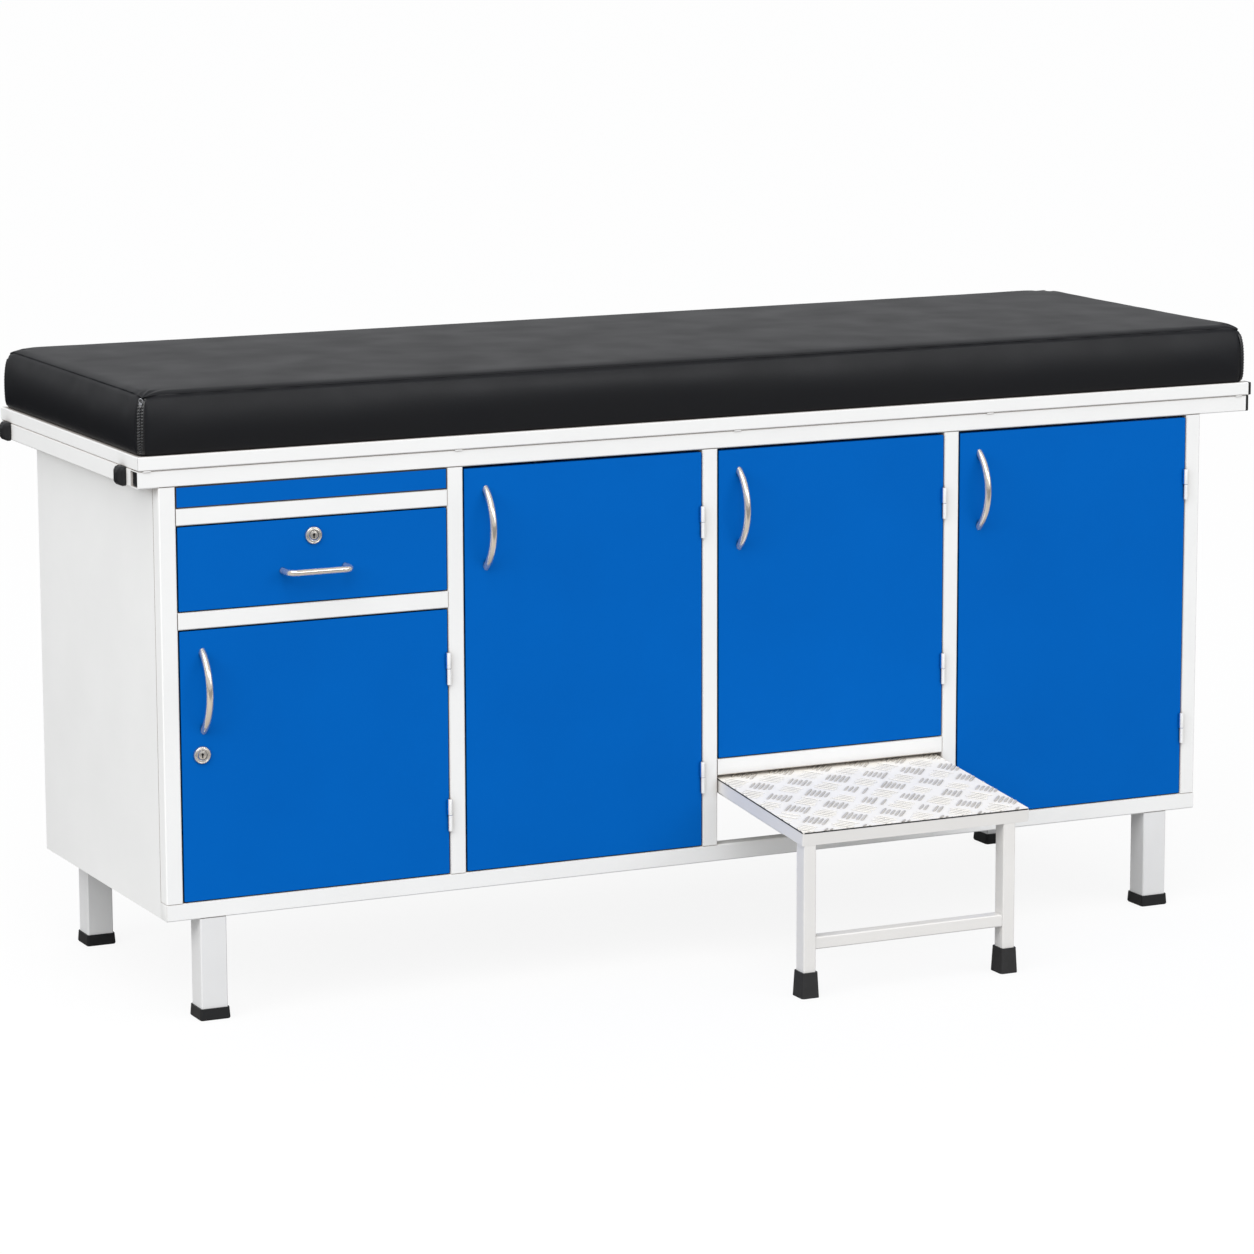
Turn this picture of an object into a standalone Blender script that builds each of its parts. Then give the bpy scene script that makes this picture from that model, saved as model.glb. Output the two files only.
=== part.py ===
"""Examination table: a padded top on a steel tube frame, over a cabinet with doors, a drawer and a pull-out step.

Metres, +Z up. x runs along the table and y from front to back. Every piece is laid out from the foot of the
cabinet's front left corner, and the root empty then centres the whole table on the origin.
"""

import math

import bmesh
import bpy
from mathutils import Matrix, Vector

# Clearances between neighbours
SEAT = 0.0003  # pieces that are welded, screwed or pressed together
FRONT_GAP = 0.002  # round each door and the drawer front
HEAD_GAP = 0.004  # over the doors, under the top frame
RUNNING_FIT = 0.0003  # round pins, axles and lock plugs

# Cabinet
CABINET_DEPTH = 0.530
CABINET_HEIGHT = 0.625
DRAWER_COLUMN_WIDTH = 0.415  # clear openings, left to right
SECOND_COLUMN_WIDTH = 0.386
STEP_COLUMN_WIDTH = 0.384
RIGHT_COLUMN_WIDTH = 0.404
FILLER_OPENING = 0.031
DRAWER_OPENING = 0.124
STEP_BAY_OPENING = 0.106
TUBE = 0.025
TUBE_WALL = 0.0015
TUBE_CORNER = 0.0015
SHEET = 0.001
PANEL_RETURN = 0.020
FLOOR_FLANGE = 0.019
FILLER_GAP = 0.0005

# Legs and their plastic caps
LEG_HEIGHT = 0.150
LEG_SIZE = 0.040
LEG_WALL = 0.0015
LEG_INSET = 0.050  # from the cabinet's ends
CAP_HEIGHT = 0.017
CAP_WALL = 0.002
CAP_SOLE = 0.004

# Top frame, board and mattress
TOP_OVERHANG_LEFT = 0.0305
TOP_OVERHANG_RIGHT = 0.086
TOP_DEPTH = 0.605
TOP_LIP = 0.002  # the upper rails stand this far in front of the cabinet
TOP_RAIL_HEIGHT = 0.020
TOP_RAIL_DEPTH = 0.020
SUB_RAIL_HEIGHT = 0.025
SUB_RAIL_DEPTH = 0.030
SUB_RAIL_SHORT = 0.003  # the lower rails stop this far short of the upper ones at the right
MIDDLE_RAIL_GAP = 0.041  # between the rear lower rail and the one over the cabinet's back
BOARD_THICKNESS = 0.018
MATTRESS_HEIGHT = 0.088
MATTRESS_INSET = 0.001
MATTRESS_CORNER = 0.015
MATTRESS_EDGE = 0.013
MATTRESS_CROWN = 0.004
MATTRESS_DRAW = 0.0025  # how far the long sides pull in between the corners
MATTRESS_WAIST = 0.0015  # how far the sides pull in at half height

# Wall bumpers on the left end
BUMPER_SIZE = 0.028
BUMPER_DEPTH = 0.012
BUMPER_CORNER = 0.005
BUMPER_FRONT_INSET = 0.062
BUMPER_REAR_INSET = 0.034

# Doors and their lift-off hinges
DOOR_DEPTH = 0.018
DOOR_CORNER = 0.001
LOWER_DOOR_HINGE_INSET = 0.087  # from a door's end to the middle of its hinge
TALL_DOOR_HINGE_INSET = 0.104
HINGE_RADIUS = 0.0028
HINGE_PIN_RADIUS = 0.0014
HINGE_HALF = 0.0235
HINGE_PIN_LENGTH = 0.017
HINGE_STANDOFF = 0.0004  # barrel clear of the front face
HINGE_WELD = 0.003  # width of the weld that joins a barrel to its steel

# Handles
HANDLE_RADIUS = 0.005
DOOR_HANDLE_SPAN = 0.118
DOOR_HANDLE_RISE = 0.034
DOOR_HANDLE_INSET = 0.034
DOOR_HANDLE_DROP = 0.029
DRAWER_HANDLE_RADIUS = 0.0045
DRAWER_HANDLE_SPAN = 0.096
DRAWER_HANDLE_RISE = 0.028
DRAWER_HANDLE_BEND = 0.010
DRAWER_HANDLE_HEIGHT = 0.047  # above the drawer front's lower edge

# Cam locks
LOCK_HEAD_RADIUS = 0.012
LOCK_HEAD_DEPTH = 0.003
LOCK_BARREL_RADIUS = 0.010
LOCK_PLUG_RADIUS = 0.007
LOCK_PLUG_RECESS = 0.0008
CAM_WIDTH = 0.014
CAM_THICKNESS = 0.002
CAM_CLEARANCE = 0.001
CAM_CATCH = 0.010  # how far a turned cam reaches behind the steel that it locks to
DRAWER_LOCK_DROP = 0.0245
DOOR_LOCK_INSET = 0.031
DOOR_LOCK_HEIGHT = 0.2115

# Drawer
DRAWER_BOX_HEIGHT = 0.066
DRAWER_BOX_DEPTH = 0.420
DRAWER_BOX_INSET = 0.006
DRAWER_LEDGE_LIFT = 0.008  # ledge above the drawer opening's lower edge
DRAWER_LEDGE_REACH = 0.014  # ledge under the box
LEDGE_SHEET = 0.0015
LEDGE_FLANGE = 0.015
LEDGE_LENGTH = 0.440

# Pull-out step
STEP_TIP = math.radians(5.8)  # the tray tips down by this much to stand on its feet
STEP_GAP_LEFT = 0.002
STEP_GAP_RIGHT = 0.004
STEP_HEADROOM = 0.002
STEP_DEPTH = 0.3305
STEP_FRAME = 0.018
STEP_ANGLE = 0.002
STEP_PLATE = 0.002
STEP_PLATE_EDGE = 0.0005  # the plate stops this far inside the frame's edge
STEP_AXLE_BACK = 0.038  # behind the cabinet's front face
STEP_AXLE_INSET = 0.020  # from the tray's rear edge
STEP_AXLE_RADIUS = 0.005
STEP_ROLLER_RADIUS = 0.010
STEP_ROLLER_WIDTH = 0.008
STEP_ROLLER_FIT = 0.0005
STEP_GUIDE_SHEET = 0.0015
STEP_GUIDE_LENGTH = 0.265
STEP_GUIDE_SETBACK = 0.001
STEP_RUNNER_DROP = 0.006
STEP_RUNNER_INSET = 0.007
STEP_RUNNER_WIDTH = 0.004
STEP_RUNNER_SHORT = 0.075  # the runners stop this far behind the tray's front
STEP_LEG_WIDTH = 0.020
STEP_LEG_DEPTH = 0.025
STEP_LEG_WALL = 0.0015
STEP_LEG_SETBACK = 0.0011  # behind the tray's face, at the middle of its height
STEP_LEG_INSET_LEFT = 0.003
STEP_LEG_INSET_RIGHT = 0.022
STEP_FOOT_HEIGHT = 0.038
STEP_FOOT_SOLE = 0.008
STEP_FOOT_WALL = 0.0025
STEP_FOOT_FLARE = 0.0017
STEP_BAR_HEIGHT = 0.018
STEP_BAR_DEPTH = 0.022
STEP_BAR_SETBACK = 0.002  # behind the legs' front
STEP_BAR_RAISE = 0.071  # crossbar's underside above the floor

# How finely round shapes are cut
ROUND_SIDES = 16
PIN_SIDES = 12
HANDLE_SIDES = 16
ARC_STEPS = 20

FINISHES = {  # colour, roughness, metallic
    "white_paint": ((0.80, 0.80, 0.79), 0.35, 0.0),
    "blue_paint": ((0.000, 0.117, 0.515), 0.40, 0.0),
    "black_vinyl": ((0.016, 0.017, 0.019), 0.45, 0.0),
    "plywood": ((0.55, 0.40, 0.24), 0.70, 0.0),
    "black_plastic": ((0.012, 0.012, 0.013), 0.45, 0.0),
    "black_rubber": ((0.014, 0.014, 0.015), 0.60, 0.0),
    "satin_steel": ((0.62, 0.60, 0.57), 0.28, 1.0),
    "zinc_steel": ((0.55, 0.56, 0.58), 0.40, 1.0),
    "tread_aluminium": ((0.80, 0.81, 0.82), 0.35, 1.0),
}

# Levels, columns and planes that follow from the sizes above
BODY_BASE = LEG_HEIGHT
SILL = BODY_BASE + TUBE  # top of the bottom rail
HEAD = BODY_BASE + CABINET_HEIGHT  # underside of the top frame
TOP_RAIL_BASE = HEAD + SUB_RAIL_HEIGHT
TOP = TOP_RAIL_BASE + TOP_RAIL_HEIGHT
FILLER_BASE = HEAD - FILLER_OPENING
DRAWER_HEAD = FILLER_BASE - TUBE
DRAWER_BASE = DRAWER_HEAD - DRAWER_OPENING
LOWER_DOOR_HEAD = DRAWER_BASE - TUBE
BAY_HEAD = SILL + STEP_BAY_OPENING
SHORT_DOOR_BASE = BAY_HEAD + TUBE
COLUMN_WIDTHS = (DRAWER_COLUMN_WIDTH, SECOND_COLUMN_WIDTH, STEP_COLUMN_WIDTH, RIGHT_COLUMN_WIDTH)
COLUMN_LEFTS = [TUBE * (i + 1) + sum(COLUMN_WIDTHS[:i]) for i in range(len(COLUMN_WIDTHS))]
COLUMN_RIGHTS = [left + width for left, width in zip(COLUMN_LEFTS, COLUMN_WIDTHS)]
CABINET_WIDTH = COLUMN_RIGHTS[-1] + TUBE
TOP_LEFT = -TOP_OVERHANG_LEFT
TOP_RIGHT = CABINET_WIDTH + TOP_OVERHANG_RIGHT
TOP_FRONT = -TOP_LIP
TOP_REAR = TOP_FRONT + TOP_DEPTH
SUB_REAR = TOP_REAR - TOP_LIP
SUB_RIGHT = TOP_RIGHT - SUB_RAIL_SHORT
PANEL_FRONT = TUBE + SEAT  # sheet steel starts behind the face frame
BACK_FACE = CABINET_DEPTH - SHEET - SEAT  # what meets the back panel stops here
FLOOR_FRONT = PANEL_FRONT + SHEET + SEAT
CAM_FRONT = FLOOR_FRONT + CAM_CLEARANCE

# The step's own frame has its origin on the axle, level with it
STEP_LEFT = COLUMN_LEFTS[2] + STEP_GAP_LEFT
STEP_RIGHT = COLUMN_RIGHTS[2] - STEP_GAP_RIGHT
STEP_TOP = STEP_FRAME / 2
STEP_REAR = STEP_AXLE_INSET
STEP_FRONT = STEP_REAR - STEP_DEPTH
STEP_AXLE_HEIGHT = BAY_HEAD - STEP_HEADROOM - STEP_PLATE - SEAT - STEP_TOP
STEP_FLOOR = -(STEP_AXLE_HEIGHT + STEP_FRONT * math.sin(STEP_TIP))  # for what is drawn plumb
STEP_REACH = STEP_FRONT * math.cos(STEP_TIP) + STEP_LEG_SETBACK - SEAT - STEP_FOOT_WALL - STEP_FOOT_FLARE
TABLE_FRONT = STEP_AXLE_BACK + STEP_REACH
TABLE_LEFT = TOP_LEFT - SEAT - BUMPER_DEPTH
TABLE_CENTRE = Vector(((TABLE_LEFT + TOP_RIGHT) / 2, (TABLE_FRONT + TOP_REAR) / 2, 0))


def clear_scene():
    for obj in list(bpy.data.objects):
        bpy.data.objects.remove(obj, do_unlink=True)


def finish_material(name, finish):
    colour, roughness, metallic = FINISHES[finish]
    material = bpy.data.materials.new(f"{name}_{finish}")
    material.use_nodes = True
    shader = material.node_tree.nodes["Principled BSDF"]
    shader.inputs["Base Color"].default_value = (*colour, 1.0)
    shader.inputs["Roughness"].default_value = roughness
    shader.inputs["Metallic"].default_value = metallic
    return material


def empty(name, location, parent=None, tilt=0.0):
    obj = bpy.data.objects.new(name, None)
    obj.empty_display_size = 0.05
    obj.location = location
    obj.rotation_euler = (tilt, 0, 0)
    obj.parent = parent
    bpy.context.scene.collection.objects.link(obj)
    return obj


def place(name, shape, finish, parent, origin=(0, 0, 0), smooth=False):
    """Makes a named object of a bmesh, whose points are measured from origin in its parent's frame."""
    bmesh.ops.translate(shape, verts=shape.verts, vec=-Vector(origin))
    bmesh.ops.recalc_face_normals(shape, faces=shape.faces)
    mesh = bpy.data.meshes.new(name)
    shape.to_mesh(mesh)
    shape.free()
    obj = bpy.data.objects.new(name, mesh)
    obj.data.materials.append(finish_material(name, finish))
    obj.parent = parent
    bpy.context.scene.collection.objects.link(obj)
    if smooth:
        mesh.shade_smooth()
        mesh.set_sharp_from_angle(angle=math.radians(35))
    return obj


def helper(name, shape, parent, origin=(0, 0, 0)):
    """A solid that only cuts or joins another object."""
    obj = place(name, shape, "zinc_steel", parent, origin)
    obj.hide_render = True
    obj.display_type = "WIRE"
    return obj


def combine(obj, other, operation):
    modifier = obj.modifiers.new(f"{operation.lower()}_{other.name}", "BOOLEAN")
    modifier.operation = operation
    modifier.solver = "EXACT"
    modifier.object = other


def join(obj, name, shape, origin=(0, 0, 0)):
    combine(obj, helper(name, shape, obj.parent, origin), "UNION")


def cut(obj, name, shape, origin=(0, 0, 0)):
    combine(obj, helper(name, shape, obj.parent, origin), "DIFFERENCE")


def rounded(low, high, radius, steps=1):
    """Corners of a rectangle with rounded corners, counter-clockwise, as (a, b) pairs."""
    points = []
    centres = (
        (high[0] - radius, high[1] - radius),
        (low[0] + radius, high[1] - radius),
        (low[0] + radius, low[1] + radius),
        (high[0] - radius, low[1] + radius),
    )
    for quarter, (a, b) in enumerate(centres):
        for step in range(steps + 1):
            angle = math.pi / 2 * (quarter + step / steps)
            points.append((a + radius * math.cos(angle), b + radius * math.sin(angle)))
    return points


def along(axis, a, b, height):
    """The point with (a, b) across an axis and height along it."""
    return {"x": Vector((height, a, b)), "y": Vector((a, height, b)), "z": Vector((a, b, height))}[axis]


def loft(rings, closed=False):
    """A solid through rings of equal point counts. A closed loft runs round, and an open one is capped."""
    shape = bmesh.new()
    loops = [[shape.verts.new(point) for point in ring] for ring in rings]
    count = len(loops[0])
    pairs = list(zip(loops, loops[1:]))
    if closed:
        pairs.append((loops[-1], loops[0]))
    else:
        shape.faces.new(loops[0])
        shape.faces.new(loops[-1])
    for first, second in pairs:
        for i in range(count):
            j = (i + 1) % count
            shape.faces.new((first[i], first[j], second[j], second[i]))
    return shape


def prism(outline, axis, start, end):
    return loft([[along(axis, a, b, h) for a, b in outline] for h in (start, end)])


def block(low, high, radius=0.0, axis="z"):
    """A bar between two corners, with its edges along the axis rounded."""
    across = {"x": (1, 2), "y": (0, 2), "z": (0, 1)}[axis]
    length = {"x": 0, "y": 1, "z": 2}[axis]
    first = [low[i] for i in across]
    last = [high[i] for i in across]
    outline = rounded(first, last, radius) if radius else [first, (last[0], first[1]), last, (first[0], last[1])]
    return prism(outline, axis, low[length], high[length])


def tube(low, high, axis, wall, radius, mitre_start=None, mitre_end=None):
    """A hollow square tube. A mitre gives, for each point across the tube, how far its end is cut back."""
    across = {"x": (1, 2), "y": (0, 2), "z": (0, 1)}[axis]
    length = {"x": 0, "y": 1, "z": 2}[axis]
    first = [low[i] for i in across]
    last = [high[i] for i in across]
    outer = rounded(first, last, radius)
    inner = rounded([v + wall for v in first], [v - wall for v in last], radius / 2)

    def ring(outline, height, mitre, sign):
        return [along(axis, a, b, height + (sign * mitre(a) if mitre else 0.0)) for a, b in outline]

    return loft(
        [
            ring(outer, low[length], mitre_start, 1),
            ring(outer, high[length], mitre_end, -1),
            ring(inner, high[length], mitre_end, -1),
            ring(inner, low[length], mitre_start, 1),
        ],
        closed=True,
    )


def folded(path, thickness, axis, start, end):
    """Sheet metal folded along a path, drawn across the axis. The sheet lies to the left of the path."""
    points = [Vector(p) for p in path]
    turns = [(b - a).normalized() for a, b in zip(points, points[1:])]
    normals = [Vector((-t.y, t.x)) for t in turns]
    offset = [points[0] + normals[0] * thickness]
    for i in range(1, len(points) - 1):
        between = (normals[i - 1] + normals[i]).normalized()
        offset.append(points[i] + between * (thickness / between.dot(normals[i])))
    offset.append(points[-1] + normals[-1] * thickness)
    return prism([tuple(p) for p in points] + [tuple(p) for p in reversed(offset)], axis, start, end)


def pan(low, high, sheet, radius, open_side):
    """A folded pan: a box of sheet with one side open, "back" (+y) or "top" (+z)."""
    if open_side == "back":
        axis, across, length = "y", (0, 2), 1
    else:
        axis, across, length = "z", (0, 1), 2
    first = [low[i] for i in across]
    last = [high[i] for i in across]
    outer = rounded(first, last, radius)
    inner = rounded([v + sheet for v in first], [v - sheet for v in last], radius / 2)
    levels = ((outer, low[length]), (outer, high[length]), (inner, high[length]), (inner, low[length] + sheet))
    return loft([[along(axis, a, b, h) for a, b in outline] for outline, h in levels])


def turned(profile, axis, centre, sides):
    """A closed (radius, height) profile turned about an axis through centre. Radius 0 lies on the axis."""
    shape = bmesh.new()
    rings = []
    for radius, height in profile:
        if radius == 0:
            rings.append([shape.verts.new(along(axis, 0, 0, height))] * sides)
            continue
        angles = [2 * math.pi * i / sides for i in range(sides)]
        rings.append([shape.verts.new(along(axis, radius * math.cos(t), radius * math.sin(t), height)) for t in angles])
    for first, second in zip(rings, rings[1:] + rings[:1]):
        for i in range(sides):
            j = (i + 1) % sides
            corners = []
            for vert in (first[i], first[j], second[j], second[i]):
                if vert not in corners:
                    corners.append(vert)
            if len(corners) > 2:
                shape.faces.new(corners)
    bmesh.ops.translate(shape, verts=shape.verts, vec=Vector(centre))
    return shape


def swept(path, radius, sides, face):
    """A round bar along a path, with both ends cut off flat at y = face."""
    points = [Vector(p) for p in path]
    side = (points[-1] - points[0]).normalized().cross(Vector((0, -1, 0)))
    rings = []
    for i, point in enumerate(points):
        tangent = (points[min(i + 1, len(points) - 1)] - points[max(i - 1, 0)]).normalized()
        out = side.cross(tangent)
        ring = []
        for k in range(sides):
            angle = 2 * math.pi * (k + 0.5) / sides
            spot = point + radius * (math.cos(angle) * side + math.sin(angle) * out)
            if i in (0, len(points) - 1):
                spot -= tangent * ((spot.y - face) / tangent.y)
            ring.append(spot)
        rings.append(ring)
    return loft(rings)


def tube_piece(name, root, low, high, axis, **mitres):
    return place(name, tube(low, high, axis, TUBE_WALL, TUBE_CORNER, **mitres), "white_paint", root)


def frame_knuckle(obj, name, x, z, toward):
    """The fixed half of a lift-off hinge: barrel, pin, and the weld that holds them to the tube."""
    y = -HINGE_RADIUS - HINGE_STANDOFF
    top = z - SEAT / 2
    base = z - HINGE_HALF
    profile = (
        (0, base),
        (HINGE_RADIUS, base),
        (HINGE_RADIUS, top),
        (HINGE_PIN_RADIUS, top),
        (HINGE_PIN_RADIUS, top + HINGE_PIN_LENGTH),
        (0, top + HINGE_PIN_LENGTH),
    )
    join(obj, f"{name}_barrel", turned(profile, "z", (x, y, 0), PIN_SIDES))
    low = (x + toward, y, base + HINGE_STANDOFF)
    high = (x + toward + HINGE_WELD, TUBE_WALL / 2, top - HINGE_STANDOFF)
    join(obj, f"{name}_weld", block(low, high))


def door_knuckle(obj, name, x, z, toward, origin):
    """The half of a lift-off hinge that hangs on the pin, welded to the door's edge."""
    y = -HINGE_RADIUS - HINGE_STANDOFF
    base = z + SEAT / 2
    top = z + HINGE_HALF
    bore = HINGE_PIN_RADIUS + RUNNING_FIT
    bore_end = base + HINGE_PIN_LENGTH + RUNNING_FIT
    profile = ((bore, base), (HINGE_RADIUS, base), (HINGE_RADIUS, top), (0, top), (0, bore_end), (bore, bore_end))
    low = (x - toward - HINGE_WELD, y, base + HINGE_STANDOFF)
    high = (x - toward, SHEET / 2, top - HINGE_STANDOFF)
    join(obj, f"{name}_weld", block(low, high), origin)
    join(obj, f"{name}_barrel", turned(profile, "z", (x, y, 0), PIN_SIDES), origin)
    hole = ((0, base - SEAT), (bore, base - SEAT), (bore, bore_end), (0, bore_end))
    cut(obj, f"{name}_bore", turned(hole, "z", (x, y, 0), PIN_SIDES), origin)


def hinge_axis(column):
    return COLUMN_RIGHTS[column] - FRONT_GAP / 2


def door_span(column):
    """Lower and upper edge of a column's door."""
    base = SHORT_DOOR_BASE if column == 2 else SILL
    head = LOWER_DOOR_HEAD - FRONT_GAP if column == 0 else HEAD - HEAD_GAP
    return base + FRONT_GAP, head


def hinge_heights(column):
    low, high = door_span(column)
    inset = TALL_DOOR_HINGE_INSET if column else LOWER_DOOR_HINGE_INSET
    return low + inset, high - inset


def make_legs(root):
    right = CABINET_WIDTH - LEG_INSET - LEG_SIZE
    rear = CABINET_DEPTH - LEG_SIZE
    for name, x, y in (
        ("front_left", LEG_INSET, 0.0),
        ("front_right", right, 0.0),
        ("rear_left", LEG_INSET, rear),
        ("rear_right", right, rear),
    ):
        low = (x, y, CAP_SOLE + SEAT)
        high = (x + LEG_SIZE, y + LEG_SIZE, BODY_BASE - SEAT)
        place(f"leg_{name}", tube(low, high, "z", LEG_WALL, TUBE_CORNER), "white_paint", root)
        make_cap(f"leg_cap_{name}", root, x, y)


def make_cap(name, root, x, y):
    """A push-on cap: flared a little towards the floor, with a pocket for the tube."""
    grow = SEAT + CAP_WALL
    flare = CAP_WALL / 2

    def ring(margin, height, radius):
        low = (x - margin, y - margin)
        high = (x + LEG_SIZE + margin, y + LEG_SIZE + margin)
        return [Vector((a, b, height)) for a, b in rounded(low, high, radius, 2)]

    outer = TUBE_CORNER + CAP_WALL
    rings = [
        ring(grow, 0.0, outer),
        ring(grow + flare, CAP_WALL, outer),
        ring(grow, CAP_HEIGHT, outer),
        ring(SEAT, CAP_HEIGHT, TUBE_CORNER),
        ring(SEAT, CAP_SOLE, TUBE_CORNER),
    ]
    place(name, loft(rings), "black_plastic", root)


def make_face_frame(root):
    tube_piece("bottom_rail_front", root, (0, 0, BODY_BASE), (CABINET_WIDTH, TUBE, SILL), "x")
    rear = BACK_FACE - TUBE
    left = PANEL_RETURN + SEAT
    tube_piece("bottom_rail_rear", root, (left, rear, BODY_BASE), (CABINET_WIDTH - left, BACK_FACE, SILL), "x")
    posts = [0.0] + COLUMN_RIGHTS
    names = ("stile_left", "mullion_1", "mullion_2", "mullion_3", "stile_right")
    for i, (name, x) in enumerate(zip(names, posts)):
        post = tube_piece(name, root, (x, 0, SILL + SEAT), (x + TUBE, TUBE, HEAD - SEAT), "z")
        if i:
            for level, z in zip(("low", "high"), hinge_heights(i - 1)):
                frame_knuckle(post, f"{name}_hinge_{level}", hinge_axis(i - 1), z, FRONT_GAP / 2 + HINGE_STANDOFF)
    for name, column, z in (
        ("drawer_rail_upper", 0, DRAWER_HEAD),
        ("drawer_rail_lower", 0, LOWER_DOOR_HEAD),
        ("step_rail", 2, BAY_HEAD),
    ):
        low = (COLUMN_LEFTS[column] + SEAT, 0, z)
        high = (COLUMN_RIGHTS[column] - SEAT, TUBE, z + TUBE)
        tube_piece(name, root, low, high, "x")


def box_edges():
    """Left and right side of the drawer box."""
    inset = FRONT_GAP + DRAWER_BOX_INSET
    return COLUMN_LEFTS[0] + inset, COLUMN_RIGHTS[0] - inset


def partition_centre(number):
    return COLUMN_RIGHTS[number - 1] + TUBE / 2


def make_panels(root):
    ledge_top = DRAWER_BASE + DRAWER_LEDGE_LIFT
    box_left, box_right = box_edges()
    ledge = (LEDGE_SHEET, "y", FLOOR_FRONT, FLOOR_FRONT + LEDGE_LENGTH)

    path = [(PANEL_RETURN, BACK_FACE), (0, BACK_FACE), (0, PANEL_FRONT), (PANEL_RETURN, PANEL_FRONT)]
    left = place("side_panel_left", folded(path, SHEET, "z", BODY_BASE, HEAD - SEAT), "white_paint", root)
    wall = SHEET / 2
    path = [(box_left + DRAWER_LEDGE_REACH, ledge_top), (wall, ledge_top), (wall, ledge_top - LEDGE_FLANGE)]
    join(left, "drawer_ledge_left", folded(path, *ledge))

    far = CABINET_WIDTH - PANEL_RETURN
    path = [(far, PANEL_FRONT), (CABINET_WIDTH, PANEL_FRONT), (CABINET_WIDTH, BACK_FACE), (far, BACK_FACE)]
    place("side_panel_right", folded(path, SHEET, "z", BODY_BASE, HEAD - SEAT), "white_paint", root)

    edge = SHEET + SEAT
    low = (edge, CABINET_DEPTH - SHEET, BODY_BASE)
    high = (CABINET_WIDTH - edge, CABINET_DEPTH, HEAD - SEAT)
    place("back_panel", block(low, high), "white_paint", root)

    for number in (1, 2, 3):
        centre = partition_centre(number)
        base = SILL + SEAT + (SHEET + SEAT if number == 1 else 0)
        side = -1 if number == 3 else 1
        face = centre - side * SHEET / 2
        path = [(face, BACK_FACE), (face, PANEL_FRONT), (centre + side * TUBE / 2, PANEL_FRONT)]
        sheet = folded(path if side > 0 else path[::-1], SHEET, "z", base, HEAD - SEAT)
        wall = place(f"partition_{number}", sheet, "white_paint", root)
        if number == 1:
            path = [(centre, ledge_top - LEDGE_FLANGE), (centre, ledge_top), (box_right - DRAWER_LEDGE_REACH, ledge_top)]
            join(wall, "drawer_ledge_right", folded(path, *ledge))
        else:
            join(wall, f"step_guide_{number}", step_guide(centre, side))

    face = SHEET / 2 + SEAT
    walls = [partition_centre(number) for number in (2, 3)]
    floor("cupboard_floor_left", root, SHEET + SEAT, walls[0] - face, SILL)
    floor("cupboard_floor_middle", root, walls[0] + face, walls[1] - face, SHORT_DOOR_BASE)
    floor("cupboard_floor_right", root, walls[1] + face, CABINET_WIDTH - SHEET - SEAT, SILL)

    low = (COLUMN_LEFTS[0] + FILLER_GAP, 0, FILLER_BASE + FILLER_GAP)
    high = (COLUMN_RIGHTS[0] - FILLER_GAP, DOOR_DEPTH, HEAD - FILLER_GAP)
    place("filler_strip", pan(low, high, SHEET, DOOR_CORNER, "back"), "blue_paint", root)


def step_guide(wall, side):
    """A channel, open towards the step, that one roller of the axle runs in."""
    reach = STEP_ROLLER_RADIUS + STEP_ROLLER_FIT + STEP_GUIDE_SHEET
    low, high = STEP_AXLE_HEIGHT - reach, STEP_AXLE_HEIGHT + reach
    mouth = wall + side * (TUBE / 2 - STEP_GUIDE_SETBACK)
    path = [(mouth, high), (wall, high), (wall, low), (mouth, low)]
    if side < 0:
        path.reverse()
    return folded(path, STEP_GUIDE_SHEET, "y", FLOOR_FRONT, FLOOR_FRONT + STEP_GUIDE_LENGTH)


def floor(name, root, left, right, level):
    """A cupboard floor that lies on the rails and turns down behind the front one."""
    top = level + SEAT + SHEET
    path = [(BACK_FACE - SHEET - SEAT, top), (FLOOR_FRONT, top), (FLOOR_FRONT, top - FLOOR_FLANGE)]
    place(name, folded(path, SHEET, "x", left, right), "white_paint", root)


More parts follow.
